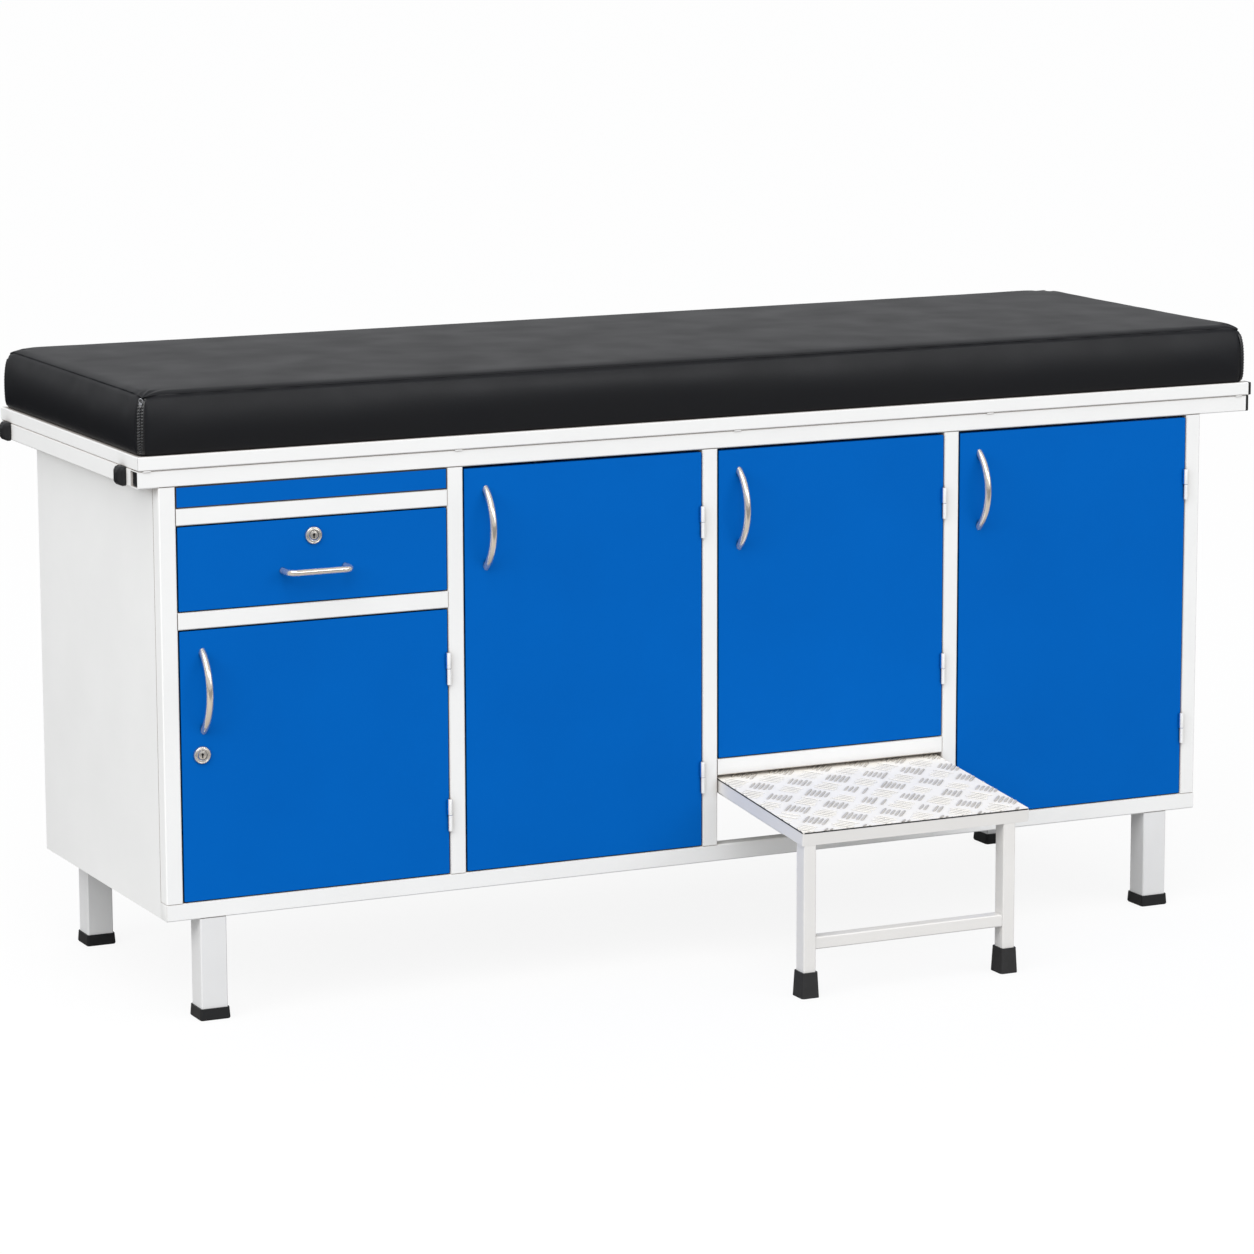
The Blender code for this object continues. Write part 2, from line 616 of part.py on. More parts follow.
def make_top(root):
    seat = TOP_RAIL_BASE + SEAT
    depth = TOP_RAIL_DEPTH
    slack = SEAT * 0.75

    def front_mitre(y):
        return y - TOP_FRONT + slack

    def rear_mitre(y):
        return TOP_REAR - y + slack

    def end_mitre(x):
        return x - TOP_LEFT + slack

    low, high = (TOP_LEFT, TOP_FRONT, seat), (TOP_RIGHT, TOP_FRONT + depth, TOP)
    tube_piece("top_rail_front", root, low, high, "x", mitre_start=front_mitre)
    low, high = (TOP_LEFT, TOP_REAR - depth, seat), (TOP_RIGHT, TOP_REAR, TOP)
    tube_piece("top_rail_rear", root, low, high, "x", mitre_start=rear_mitre)
    low, high = (TOP_LEFT, TOP_FRONT, seat), (TOP_LEFT + depth, TOP_REAR, TOP)
    tube_piece("top_rail_left", root, low, high, "y", mitre_start=end_mitre, mitre_end=end_mitre)
    low = (TOP_RIGHT - depth, TOP_FRONT + depth + SEAT, seat)
    high = (TOP_RIGHT, TOP_REAR - depth - SEAT, TOP)
    tube_piece("top_rail_right", root, low, high, "y")

    depth = SUB_RAIL_DEPTH
    tube_piece("sub_rail_front", root, (TOP_LEFT, 0, HEAD), (SUB_RIGHT, depth, TOP_RAIL_BASE), "x")
    low, high = (TOP_LEFT, SUB_REAR - depth, HEAD), (SUB_RIGHT, SUB_REAR, TOP_RAIL_BASE)
    tube_piece("sub_rail_rear", root, low, high, "x")
    for name, x in (("left", TOP_LEFT), ("right", SUB_RIGHT - depth)):
        low, high = (x, depth + SEAT, HEAD), (x + depth, SUB_REAR - depth - SEAT, TOP_RAIL_BASE)
        tube_piece(f"sub_rail_{name}", root, low, high, "y")
    rear = SUB_REAR - depth - MIDDLE_RAIL_GAP
    low = (TOP_LEFT + depth + SEAT, rear - TUBE, HEAD)
    high = (SUB_RIGHT - depth - SEAT, rear, TOP_RAIL_BASE)
    tube_piece("sub_rail_middle", root, low, high, "x")

    inset = TOP_RAIL_DEPTH + SEAT
    low = (TOP_LEFT + inset, TOP_FRONT + inset, seat)
    high = (TOP_RIGHT - inset, TOP_REAR - inset, seat + BOARD_THICKNESS)
    place("mattress_board", block(low, high), "plywood", root)
    place("mattress", mattress_shape(), "black_vinyl", root, smooth=True)

    place("end_bumper_front", bumper_shape(TOP_FRONT + BUMPER_FRONT_INSET), "black_plastic", root, smooth=True)
    place("end_bumper_rear", bumper_shape(TOP_REAR - BUMPER_REAR_INSET), "black_plastic", root, smooth=True)


def cushion_ring(margin, height, draw):
    """A rounded rectangle as large as the top less a margin, whose sides pull in by draw at their middle."""
    low = Vector((TOP_LEFT + MATTRESS_INSET + margin, TOP_FRONT + MATTRESS_INSET + margin))
    high = Vector((TOP_RIGHT - MATTRESS_INSET - margin, TOP_REAR - MATTRESS_INSET - margin))
    radius = max(MATTRESS_CORNER - margin, MATTRESS_CORNER / 4)
    steps = 4
    corners = rounded(low, high, radius, steps)
    ring = []
    for quarter in range(4):
        ring += [Vector((*p, height)) for p in corners[quarter * (steps + 1) : (quarter + 1) * (steps + 1)]]
        start = ring[-1]
        end = Vector((*corners[(quarter + 1) * (steps + 1) % len(corners)], height))
        inward = Vector((0, 0, 1)).cross(end - start).normalized()
        pieces = 12 if quarter % 2 == 0 else 6
        for i in range(1, pieces):
            ring.append(start.lerp(end, i / pieces) + inward * (draw * math.sin(math.pi * i / pieces)))
    return ring


def mattress_shape():
    """A foam mattress: flat below, sides drawn in a little, rounded over the edge, and crowned on top."""
    base = TOP + SEAT
    shoulder = base + MATTRESS_HEIGHT - MATTRESS_EDGE
    foot = MATTRESS_EDGE / 3
    rings = [cushion_ring(foot, base, MATTRESS_DRAW), cushion_ring(0, base + foot, MATTRESS_DRAW)]
    for share in (0.25, 0.5, 0.75):
        waist = MATTRESS_WAIST * math.sin(math.pi * share)
        rings.append(cushion_ring(waist, base + foot + (shoulder - base - foot) * share, MATTRESS_DRAW))
    for step in range(5):
        angle = math.pi / 2 * step / 4
        margin = MATTRESS_EDGE * (1 - math.cos(angle))
        rings.append(cushion_ring(margin, shoulder + MATTRESS_EDGE * math.sin(angle), MATTRESS_DRAW))
    reach = TOP_DEPTH / 2 - MATTRESS_EDGE
    for share in (0.12, 0.3, 0.55, 0.85):
        rise = MATTRESS_CROWN * (1 - (1 - share) ** 2)
        rings.append(cushion_ring(MATTRESS_EDGE + reach * share, shoulder + MATTRESS_EDGE + rise, MATTRESS_DRAW))
    return loft(rings)


def bumper_shape(y):
    """A domed plastic buffer on the end of the lower frame."""
    z = HEAD + (TOP_RAIL_BASE - HEAD) / 2
    rings = []
    for depth, size in ((0, 1), (0.35, 1), (0.65, 0.9), (0.88, 0.68), (1, 0.34)):
        half = BUMPER_SIZE / 2 * size
        outline = rounded((y - half, z - half), (y + half, z + half), BUMPER_CORNER * size, 3)
        rings.append([along("x", a, b, TOP_LEFT - SEAT - BUMPER_DEPTH * depth) for a, b in outline])
    return loft(rings)


def add_lock_barrel(front, name, x, z, origin):
    """The fixed barrel of a cam lock: its head in front, its sleeve behind, and the bore for the plug."""
    edge = LOCK_HEAD_DEPTH / 4
    profile = (
        (0, -LOCK_HEAD_DEPTH),
        (LOCK_HEAD_RADIUS - edge, -LOCK_HEAD_DEPTH),
        (LOCK_HEAD_RADIUS, edge - LOCK_HEAD_DEPTH),
        (LOCK_HEAD_RADIUS, SHEET / 2),
        (LOCK_BARREL_RADIUS, SHEET / 2),
        (LOCK_BARREL_RADIUS, DOOR_DEPTH - SHEET),
        (0, DOOR_DEPTH - SHEET),
    )
    join(front, f"{name}_barrel", turned(profile, "y", (x, 0, z), ROUND_SIDES), origin)
    bore = LOCK_PLUG_RADIUS + RUNNING_FIT
    ends = (-2 * LOCK_HEAD_DEPTH, 2 * DOOR_DEPTH)
    hole = ((0, ends[0]), (bore, ends[0]), (bore, ends[1]), (0, ends[1]))
    cut(front, f"{name}_bore", turned(hole, "y", (x, 0, z), ROUND_SIDES), origin)


def make_lock(name, parent, x, z, pointing, reach):
    """The part of a cam lock that the key turns: a plug, and a cam behind it that points along an (x, z) direction."""
    pivot = empty(f"{name}_axis", Vector((x, 0, z)) - parent_origin(parent), parent)
    start, end = LOCK_PLUG_RECESS - LOCK_HEAD_DEPTH, CAM_FRONT + CAM_THICKNESS / 2
    profile = ((0, start), (LOCK_PLUG_RADIUS, start), (LOCK_PLUG_RADIUS, end), (0, end))
    plug = place(name, turned(profile, "y", (0, 0, 0), ROUND_SIDES), "satin_steel", pivot)
    half = CAM_WIDTH / 2
    across = (abs(pointing[1]), abs(pointing[0]))
    ends = [(pointing[i] * reach - across[i] * half, pointing[i] * reach + across[i] * half) for i in (0, 1)]
    starts = [(-half, half), (-half, half)]
    low = [min(ends[i][0], starts[i][0]) for i in (0, 1)]
    high = [max(ends[i][1], starts[i][1]) for i in (0, 1)]
    outline = rounded(low, high, half * 0.4, 2)
    join(plug, f"{name}_cam", prism(outline, "y", CAM_FRONT, CAM_FRONT + CAM_THICKNESS))


def parent_origin(parent):
    """Where a moving group's empty stands in the cabinet's frame."""
    return Vector(parent.location)


def make_doors(root):
    for column in range(4):
        name = f"door_{column + 1}"
        low_z, high_z = door_span(column)
        left, right = COLUMN_LEFTS[column] + FRONT_GAP, COLUMN_RIGHTS[column] - FRONT_GAP
        origin = Vector((hinge_axis(column), -HINGE_RADIUS - HINGE_STANDOFF, low_z))
        pivot = empty(f"{name}_axis", origin, root)
        leaf = pan((left, 0, low_z), (right, DOOR_DEPTH, high_z), SHEET, DOOR_CORNER, "back")
        door = place(name, leaf, "blue_paint", pivot, origin)
        for level, z in zip(("low", "high"), hinge_heights(column)):
            door_knuckle(door, f"{name}_hinge_{level}", origin.x, z, FRONT_GAP / 2 + HINGE_STANDOFF, origin)
        if column == 0:
            x, z = left + DOOR_LOCK_INSET, low_z + DOOR_LOCK_HEIGHT
            add_lock_barrel(door, "door_lock", x, z, origin)
            make_lock("door_lock", pivot, x, z, (0, -1), x - TUBE + CAM_CATCH)
        bow = door_handle_path(left + DOOR_HANDLE_INSET, high_z - DOOR_HANDLE_DROP)
        shape = swept(bow, HANDLE_RADIUS, HANDLE_SIDES, -SEAT)
        place(f"door_handle_{column + 1}", shape, "satin_steel", pivot, origin, smooth=True)


def door_handle_path(x, top):
    """An arc that stands off the door, from its lower end to its upper one."""
    half, rise = DOOR_HANDLE_SPAN / 2, DOOR_HANDLE_RISE
    radius = (half * half + rise * rise) / (2 * rise)
    swing = math.asin(half / radius)
    path = []
    for i in range(ARC_STEPS + 1):
        angle = swing * (2 * i / ARC_STEPS - 1)
        path.append((x, radius - rise - radius * math.cos(angle), top - half + radius * math.sin(angle)))
    return path


def drawer_handle_path(x, z):
    """A straight bar with both ends bent back to the drawer front."""
    half, rise, bend = DRAWER_HANDLE_SPAN / 2, DRAWER_HANDLE_RISE, DRAWER_HANDLE_BEND
    path = [(x - half, 0, z)]
    angles = [math.pi / 2 * i / 4 for i in range(5)]
    for t in angles:
        path.append((x - half + bend * (1 - math.cos(t)), bend * (1 - math.sin(t)) - rise, z))
    for t in angles:
        path.append((x + half - bend * (1 - math.sin(t)), bend * (1 - math.cos(t)) - rise, z))
    path.append((x + half, 0, z))
    return path


def make_drawer(root):
    left, right = COLUMN_LEFTS[0] + FRONT_GAP, COLUMN_RIGHTS[0] - FRONT_GAP
    low_z, high_z = DRAWER_BASE + FRONT_GAP, DRAWER_HEAD - FRONT_GAP
    origin = Vector(((left + right) / 2, 0, low_z))
    slide = empty("drawer_slide", origin, root)
    shape = pan((left, 0, low_z), (right, DOOR_DEPTH, high_z), SHEET, DOOR_CORNER, "back")
    front = place("drawer_front", shape, "blue_paint", slide, origin)
    lock_z = high_z - DRAWER_LOCK_DROP
    add_lock_barrel(front, "drawer_lock", origin.x, lock_z, origin)
    make_lock("drawer_lock", slide, origin.x, lock_z, (1, 0), DRAWER_HEAD + CAM_CATCH - lock_z)

    box_left, box_right = box_edges()
    base = DRAWER_BASE + DRAWER_LEDGE_LIFT + SEAT
    front_y = SHEET + SEAT
    low, high = (box_left, front_y, base), (box_right, front_y + DRAWER_BOX_DEPTH, base + DRAWER_BOX_HEIGHT)
    place("drawer_box", pan(low, high, SHEET, DOOR_CORNER, "top"), "white_paint", slide, origin)

    bar = drawer_handle_path(origin.x, low_z + DRAWER_HANDLE_HEIGHT)
    shape = swept(bar, DRAWER_HANDLE_RADIUS, HANDLE_SIDES, -SEAT)
    place("drawer_handle", shape, "satin_steel", slide, origin, smooth=True)


def plumb(shape):
    """Leans a shape drawn plumb so that it stands plumb once the step is tipped."""
    lean = Matrix.Rotation(-STEP_TIP, 3, "X")
    bmesh.ops.rotate(shape, verts=shape.verts, cent=(0, STEP_FRONT, 0), matrix=lean)
    return shape


def make_step(root):
    carriage = empty("step_carriage", (0, STEP_AXLE_BACK, STEP_AXLE_HEIGHT), root)
    step = empty("step_tip", (0, 0, 0), carriage, STEP_TIP)

    wheel, rod, width = STEP_ROLLER_RADIUS, STEP_AXLE_RADIUS, STEP_ROLLER_WIDTH
    reach = STEP_GUIDE_SHEET + STEP_ROLLER_FIT
    start, end = partition_centre(2) + reach, partition_centre(3) - reach
    profile = (
        (0, start),
        (wheel, start),
        (wheel, start + width),
        (rod, start + width),
        (rod, end - width),
        (wheel, end - width),
        (wheel, end),
        (0, end),
    )
    place("step_axle", turned(profile, "x", (0, 0, 0), ROUND_SIDES), "zinc_steel", carriage)

    edge = STEP_PLATE_EDGE
    low = (STEP_LEFT + edge, STEP_FRONT + edge, STEP_TOP + SEAT)
    high = (STEP_RIGHT - edge, STEP_REAR - edge, STEP_TOP + SEAT + STEP_PLATE)
    place("step_plate", block(low, high, STEP_PLATE), "tread_aluminium", step)

    ring = block((STEP_LEFT, STEP_FRONT, -STEP_TOP), (STEP_RIGHT, STEP_REAR, STEP_TOP), STEP_ANGLE / 2)
    frame = place("step_frame", ring, "white_paint", step)
    wall = STEP_ANGLE
    low = (STEP_LEFT + wall, STEP_FRONT + wall, -2 * STEP_FRAME)
    high = (STEP_RIGHT - wall, STEP_REAR - wall, STEP_TOP - wall)
    cut(frame, "step_hollow", block(low, high))
    wall = STEP_FRAME
    low = (STEP_LEFT + wall, STEP_FRONT + wall, -2 * STEP_FRAME)
    high = (STEP_RIGHT - wall, STEP_REAR - wall, 2 * STEP_FRAME)
    cut(frame, "step_opening", block(low, high))

    half = STEP_ANGLE / 2
    inset = STEP_RUNNER_INSET
    for name, x in (("left", STEP_LEFT + inset), ("right", STEP_RIGHT - inset - STEP_RUNNER_WIDTH)):
        low = (x, STEP_FRONT + STEP_RUNNER_SHORT, -STEP_TOP - STEP_RUNNER_DROP)
        high = (x + STEP_RUNNER_WIDTH, STEP_REAR - half, STEP_TOP - half)
        join(frame, f"step_runner_{name}", block(low, high))

    front = STEP_FRONT + STEP_LEG_SETBACK
    leg_end = STEP_FLOOR + STEP_FOOT_SOLE
    legs = {
        "left": STEP_LEFT + STEP_LEG_INSET_LEFT,
        "right": STEP_RIGHT - STEP_LEG_INSET_RIGHT - STEP_LEG_WIDTH,
    }
    for name, x in legs.items():
        low = (x, front, leg_end)
        high = (x + STEP_LEG_WIDTH, front + STEP_LEG_DEPTH, STEP_TOP - half)
        join(frame, f"step_leg_{name}", plumb(tube(low, high, "z", STEP_LEG_WALL, TUBE_CORNER)))
        place(f"step_foot_{name}", plumb(foot_shape(low, high)), "black_rubber", step)

    bore = STEP_AXLE_RADIUS + RUNNING_FIT
    ends = (STEP_LEFT - STEP_FRAME, STEP_RIGHT + STEP_FRAME)
    hole = ((0, ends[0]), (bore, ends[0]), (bore, ends[1]), (0, ends[1]))
    cut(frame, "step_axle_bore", turned(hole, "x", (0, 0, 0), ROUND_SIDES))

    base, front = STEP_FLOOR + STEP_BAR_RAISE, front + STEP_BAR_SETBACK
    low = (legs["left"] + STEP_LEG_WIDTH + SEAT, front, base)
    high = (legs["right"] - SEAT, front + STEP_BAR_DEPTH, base + STEP_BAR_HEIGHT)
    place("step_crossbar", plumb(tube(low, high, "x", STEP_LEG_WALL, TUBE_CORNER)), "white_paint", step)


def foot_shape(low, high):
    """A rubber ferrule on a step leg, flared towards a sole that lies flat on the floor."""

    def ring(margin, radius, height):
        outline = rounded((low[0] - margin, low[1] - margin), (high[0] + margin, high[1] + margin), radius, 2)
        return [Vector((a, b, height)) for a, b in outline]

    outer = SEAT + STEP_FOOT_WALL
    top = STEP_FLOOR + STEP_FOOT_HEIGHT
    corner = TUBE_CORNER + STEP_FOOT_WALL
    return loft(
        [
            ring(outer + STEP_FOOT_FLARE, corner, STEP_FLOOR),
            ring(outer, corner, top),
            ring(SEAT, TUBE_CORNER, top),
            ring(SEAT, TUBE_CORNER, low[2] - SEAT),
        ]
    )


def main():
    clear_scene()
    root = empty("exam_table", -TABLE_CENTRE)
    make_legs(root)
    make_face_frame(root)
    make_panels(root)
    make_top(root)
    make_doors(root)
    make_drawer(root)
    make_step(root)
    bpy.context.view_layer.update()
    print("table centre in the cabinet's frame:", [round(v, 5) for v in TABLE_CENTRE])


main()
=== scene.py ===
import math
import random

import bmesh
import bpy
from mathutils import Matrix, Vector
from mathutils.bvhtree import BVHTree


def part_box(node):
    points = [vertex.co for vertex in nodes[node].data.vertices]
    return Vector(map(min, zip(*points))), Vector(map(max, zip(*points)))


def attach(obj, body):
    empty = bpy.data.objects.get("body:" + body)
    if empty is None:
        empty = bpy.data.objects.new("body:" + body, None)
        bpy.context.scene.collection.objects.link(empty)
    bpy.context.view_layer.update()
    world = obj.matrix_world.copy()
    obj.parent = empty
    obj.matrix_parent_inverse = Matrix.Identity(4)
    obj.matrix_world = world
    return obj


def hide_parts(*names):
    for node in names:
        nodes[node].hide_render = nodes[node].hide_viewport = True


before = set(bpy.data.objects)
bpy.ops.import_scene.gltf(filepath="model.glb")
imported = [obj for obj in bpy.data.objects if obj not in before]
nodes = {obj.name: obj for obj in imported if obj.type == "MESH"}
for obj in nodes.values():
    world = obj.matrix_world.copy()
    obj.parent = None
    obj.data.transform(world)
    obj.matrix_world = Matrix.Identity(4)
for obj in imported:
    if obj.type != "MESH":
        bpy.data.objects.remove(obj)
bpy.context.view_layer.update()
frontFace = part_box("stile_left")[0].y  # the cabinet's front, which the doors are flush with
doorBodies = ("lower_door", "second_door", "third_door", "fourth_door")
corners = ((-1, -1), (1, -1), (1, 1), (-1, 1))  # signs of a rectangle's corners, in order round it
creaseAngle = 50.0  # edges that turn further than this stay sharp on a smooth piece
colourMix = {"data_type": "RGBA"}
mixShare, mixFirst, mixSecond, mixOut = 0, 6, 7, 2  # sockets of a Mix node that mixes colours
print("frame:", len(nodes), "nodes")


# an sRGB hex value as linear colour
def linear(hexText):
    channels = [int(hexText[i:i + 2], 16) / 255 for i in (0, 2, 4)]
    return (*(c / 12.92 if c <= 0.04045 else ((c + 0.055) / 1.055) ** 2.4 for c in channels), 1.0)


def addNode(owner, kind, settings=(), values=(), links=()):
    tree = owner.node_tree
    node = tree.nodes.new("ShaderNode" + kind)
    for name, value in dict(settings).items():
        setattr(node, name, value)
    for socket, value in dict(values).items():
        node.inputs[socket].default_value = value
    for socket, source in dict(links).items():
        tree.links.new(source, node.inputs[socket])
    return node


def newMaterial(name, specular):
    material = bpy.data.materials.new(name)
    material.use_nodes = True
    shader = material.node_tree.nodes["Principled BSDF"]
    shader.inputs["Specular IOR Level"].default_value = specular
    return material, shader


def linkShader(material, shader, sources):
    for socket, source in sources.items():
        material.node_tree.links.new(source, shader.inputs[socket])


def addPiece(name, bm, material, body, smooth=True):
    bmesh.ops.recalc_face_normals(bm, faces=bm.faces)
    mesh = bpy.data.meshes.new(name)
    bm.to_mesh(mesh)
    bm.free()
    if smooth:
        mesh.shade_smooth()
        mesh.set_sharp_from_angle(angle=math.radians(creaseAngle))
    piece = bpy.data.objects.new(name, mesh)
    bpy.context.scene.collection.objects.link(piece)
    mesh.materials.append(material)
    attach(piece, body)
    return piece


# skins rings of equal point counts; an open loft is capped at both ends
def addLoft(bm, rings, closed=False):
    loops = [[bm.verts.new(point) for point in ring] for ring in rings]
    pairs = list(zip(loops, loops[1:]))
    if closed:
        pairs.append((loops[-1], loops[0]))
    for lower, upper in pairs:
        for i in range(len(lower)):
            j = (i + 1) % len(lower)
            bm.faces.new((lower[i], lower[j], upper[j], upper[i]))
    if not closed:
        bm.faces.new(loops[0])
        bm.faces.new(loops[-1])


# points round centre, in the plane of two directions
def circle(centre, first, second, radius, count):
    turns = [2 * math.pi * i / count for i in range(count)]
    return [centre + (first * math.cos(a) + second * math.sin(a)) * radius for a in turns]


# a (radius, height) profile in mm, turned about the direction that leaves from point
def addTurned(bm, profile, point, direction, segments, closed=False):
    place = Vector(direction).to_track_quat("Z", "Y").to_matrix()
    turns = [2 * math.pi * i / segments for i in range(segments)]
    rings = []
    for radius, height in profile:
        spokes = [Vector((radius * math.cos(a), radius * math.sin(a), height)) for a in turns]
        rings.append([Vector(point) + place @ spoke / 1000 for spoke in spokes])
    addLoft(bm, rings, closed)


# outline of a rectangle with round corners, as offsets from its middle
def roundedOutline(halfA, halfB, radius, steps):
    points = []
    for a, b, start in ((1, 1, 0), (-1, 1, 90), (-1, -1, 180), (1, -1, 270)):
        for i in range(steps + 1):
            angle = math.radians(start + 90 * i / steps)
            points.append((a * (halfA - radius) + radius * math.cos(angle),
                           b * (halfB - radius) + radius * math.sin(angle)))
    return points


# Camera, floor and light
cameraSet = {
    "place": (-3.1399, -6.4096, 1.7710), "azimuth": -25.567, "elevation": 10.251, "roll": -0.17,
    "lensMm": 137.05, "sensorMm": 36.0, "seesTo": 500.0,
}
studio = {
    "skyHex": "FCFDFF", "skyLight": 0.76, "skySeen": 1.0, "skyInGloss": 0.56,
    # the floor shows as white paper with a trace of shadow, and is greyer to the paint
    "floorSeen": "585858", "floorGlow": 0.885, "floorToPaint": "B8B8B7",
    # what shiny pieces mirror of it: far ahead of the table, behind it, and a paler strip just ahead of it
    "glossAhead": "666666", "glossBehind": "262626", "glossSpan": (-0.6, 1.2),
    "glossNear": "BDB8B1", "nearSpan": (-1.8, -1.2),
    "floorReach": 150.0, "floorCells": 8, "floorLevel": -0.0005, "floorRoughness": 0.95,
    "sunStrength": 1.25, "sunAngle": 50.0, "sunTilt": (30.0, -22.0),
    # place, aim, width, height, watts, and whether it lights dull surfaces and shows in shiny ones
    "panels": {
        "key": ((-4.4, -1.4, 2.4), (-0.4, 0.1, 0.5), 2.6, 2.0, 60.0, True, False),
        "fill": ((2.6, -4.0, 2.4), (0.3, 0.1, 0.5), 2.0, 2.0, 30.0, True, True),
        "front": ((0.6, -5.0, 3.2), (0.0, 0.1, 0.6), 3.0, 2.0, 14.0, True, False),
        "sheen": ((0.6, -4.4, 3.1), (0.0, -0.1, 0.8), 4.5, 0.8, 42.0, False, True),
    },
}


def makeCamera():
    data = bpy.data.cameras.new("camera")
    data.lens = cameraSet["lensMm"]
    data.sensor_width = cameraSet["sensorMm"]
    data.clip_end = cameraSet["seesTo"]
    camera = bpy.data.objects.new("camera", data)
    camera.location = cameraSet["place"]
    turn = Matrix.Rotation(math.radians(cameraSet["azimuth"]), 3, "Z")
    tilt = Matrix.Rotation(math.radians(90 - cameraSet["elevation"]), 3, "X")
    roll = Matrix.Rotation(math.radians(cameraSet["roll"]), 3, "Z")
    camera.rotation_euler = (turn @ tilt @ roll).to_euler()
    bpy.context.scene.collection.objects.link(camera)
    bpy.context.scene.camera = camera


def makeSky():
    bpy.context.scene.view_settings.view_transform = "Standard"
    world = bpy.data.worlds.new("studio")
    bpy.context.scene.world = world
    world.use_nodes = True
    sky = world.node_tree.nodes["Background"]
    sky.inputs["Color"].default_value = linear(studio["skyHex"])
    path = addNode(world, "LightPath").outputs
    plain = addNode(world, "MapRange",
                    values={"To Min": studio["skyLight"], "To Max": studio["skyInGloss"]},
                    links={"Value": path["Is Glossy Ray"]})
    glow = addNode(world, "MapRange", values={"To Max": studio["skySeen"]},
                   links={"Value": path["Is Camera Ray"], "To Min": plain.outputs["Result"]})
    world.node_tree.links.new(glow.outputs["Result"], sky.inputs["Strength"])


# backdrop paper, uncoated: matt, and even in tone
def makePaper():
    paper, shader = newMaterial("seamless backdrop paper", specular=0.0)
    shader.inputs["Roughness"].default_value = studio["floorRoughness"]
    shader.inputs["Emission Color"].default_value = (1, 1, 1, 1)
    path = addNode(paper, "LightPath").outputs
    place = addNode(paper, "NewGeometry").outputs["Position"]
    depth = addNode(paper, "SeparateXYZ", links={"Vector": place}).outputs["Y"]
    low, high = studio["glossSpan"]
    behind = addNode(paper, "MapRange", values={"From Min": low, "From Max": high}, links={"Value": depth})
    low, high = studio["nearSpan"]
    close = addNode(paper, "MapRange", values={"From Min": low, "From Max": high}, links={"Value": depth})
    ahead = addNode(paper, "Mix", colourMix,
                    {mixFirst: linear(studio["glossAhead"]), mixSecond: linear(studio["glossNear"])},
                    {mixShare: close.outputs["Result"]})
    gloss = addNode(paper, "Mix", colourMix, {mixSecond: linear(studio["glossBehind"])},
                    {mixShare: behind.outputs["Result"], mixFirst: ahead.outputs[mixOut]})
    unseen = addNode(paper, "Mix", colourMix, {mixFirst: linear(studio["floorToPaint"])},
                     {mixShare: path["Is Glossy Ray"], mixSecond: gloss.outputs[mixOut]})
    tone = addNode(paper, "Mix", colourMix, {mixSecond: linear(studio["floorSeen"])},
                   {mixShare: path["Is Camera Ray"], mixFirst: unseen.outputs[mixOut]})
    glow = addNode(paper, "Math", {"operation": "MULTIPLY"}, {1: studio["floorGlow"]},
                   {0: path["Is Camera Ray"]})
    linkShader(paper, shader, {"Base Color": tone.outputs[mixOut],
                               "Emission Strength": glow.outputs["Value"]})
    return paper


def makeFloor():
    bm = bmesh.new()
    cells = studio["floorCells"]
    bmesh.ops.create_grid(bm, x_segments=cells, y_segments=cells, size=studio["floorReach"])
    mesh = bpy.data.meshes.new("floor")
    bm.to_mesh(mesh)
    bm.free()
    floor = bpy.data.objects.new("floor", mesh)
    floor.location.z = studio["floorLevel"]
    bpy.context.scene.collection.objects.link(floor)
    mesh.materials.append(makePaper())


def makeLights():
    sun = bpy.data.lights.new("overhead", "SUN")
    sun.energy = studio["sunStrength"]
    sun.angle = math.radians(studio["sunAngle"])
    overhead = bpy.data.objects.new("overhead", sun)
    overhead.rotation_euler = [math.radians(a) for a in (*studio["sunTilt"], 0.0)]
    bpy.context.scene.collection.objects.link(overhead)
    for name, (place, aimAt, width, height, watts, onDull, onShiny) in studio["panels"].items():
        light = bpy.data.lights.new(name, "AREA")
        light.shape = "RECTANGLE"
        light.size, light.size_y = width, height
        light.energy = watts
        panel = bpy.data.objects.new(name, light)
        panel.visible_diffuse, panel.visible_glossy = onDull, onShiny
        panel.location = place
        panel.rotation_euler = (Vector(aimAt) - Vector(place)).to_track_quat("-Z", "Y").to_euler()
        bpy.context.scene.collection.objects.link(panel)


makeCamera()
makeSky()
makeFloor()
makeLights()
print("camera, floor and lights set")

# Finishes, each named for its material and the way its surface was made
plainFinish = {
    "metallic": 0.0,
    "patchDetail": 3.0,  # of the slow change of tint, which is patchMm in size
    "grainDetail": 4.0,  # of the fine relief, which is grainMm in size
    "stretch": (1, 1, 1),  # a value below 1 draws the grain out along that axis
    "noiseSpan": (0.3, 0.7),  # where most of the grain's values lie
    "shadeSamples": 6,  # painted shade darkens gaps as far as seamMm, and a softer painted shade reaches shadeMm
}
# the orange peel of a baked powder coat, drawn coarser than the real one so that it shows
powderCoat = {"grainMm": 5.0, "reliefMm": 0.05, "relief": 0.35}
# painted shade: the dark colour laid into the white coat's gaps and joints
whiteSeamShade = {"seamMm": 3.0, "seamHex": "4A4744", "seamSpan": (0.03, 0.42)}
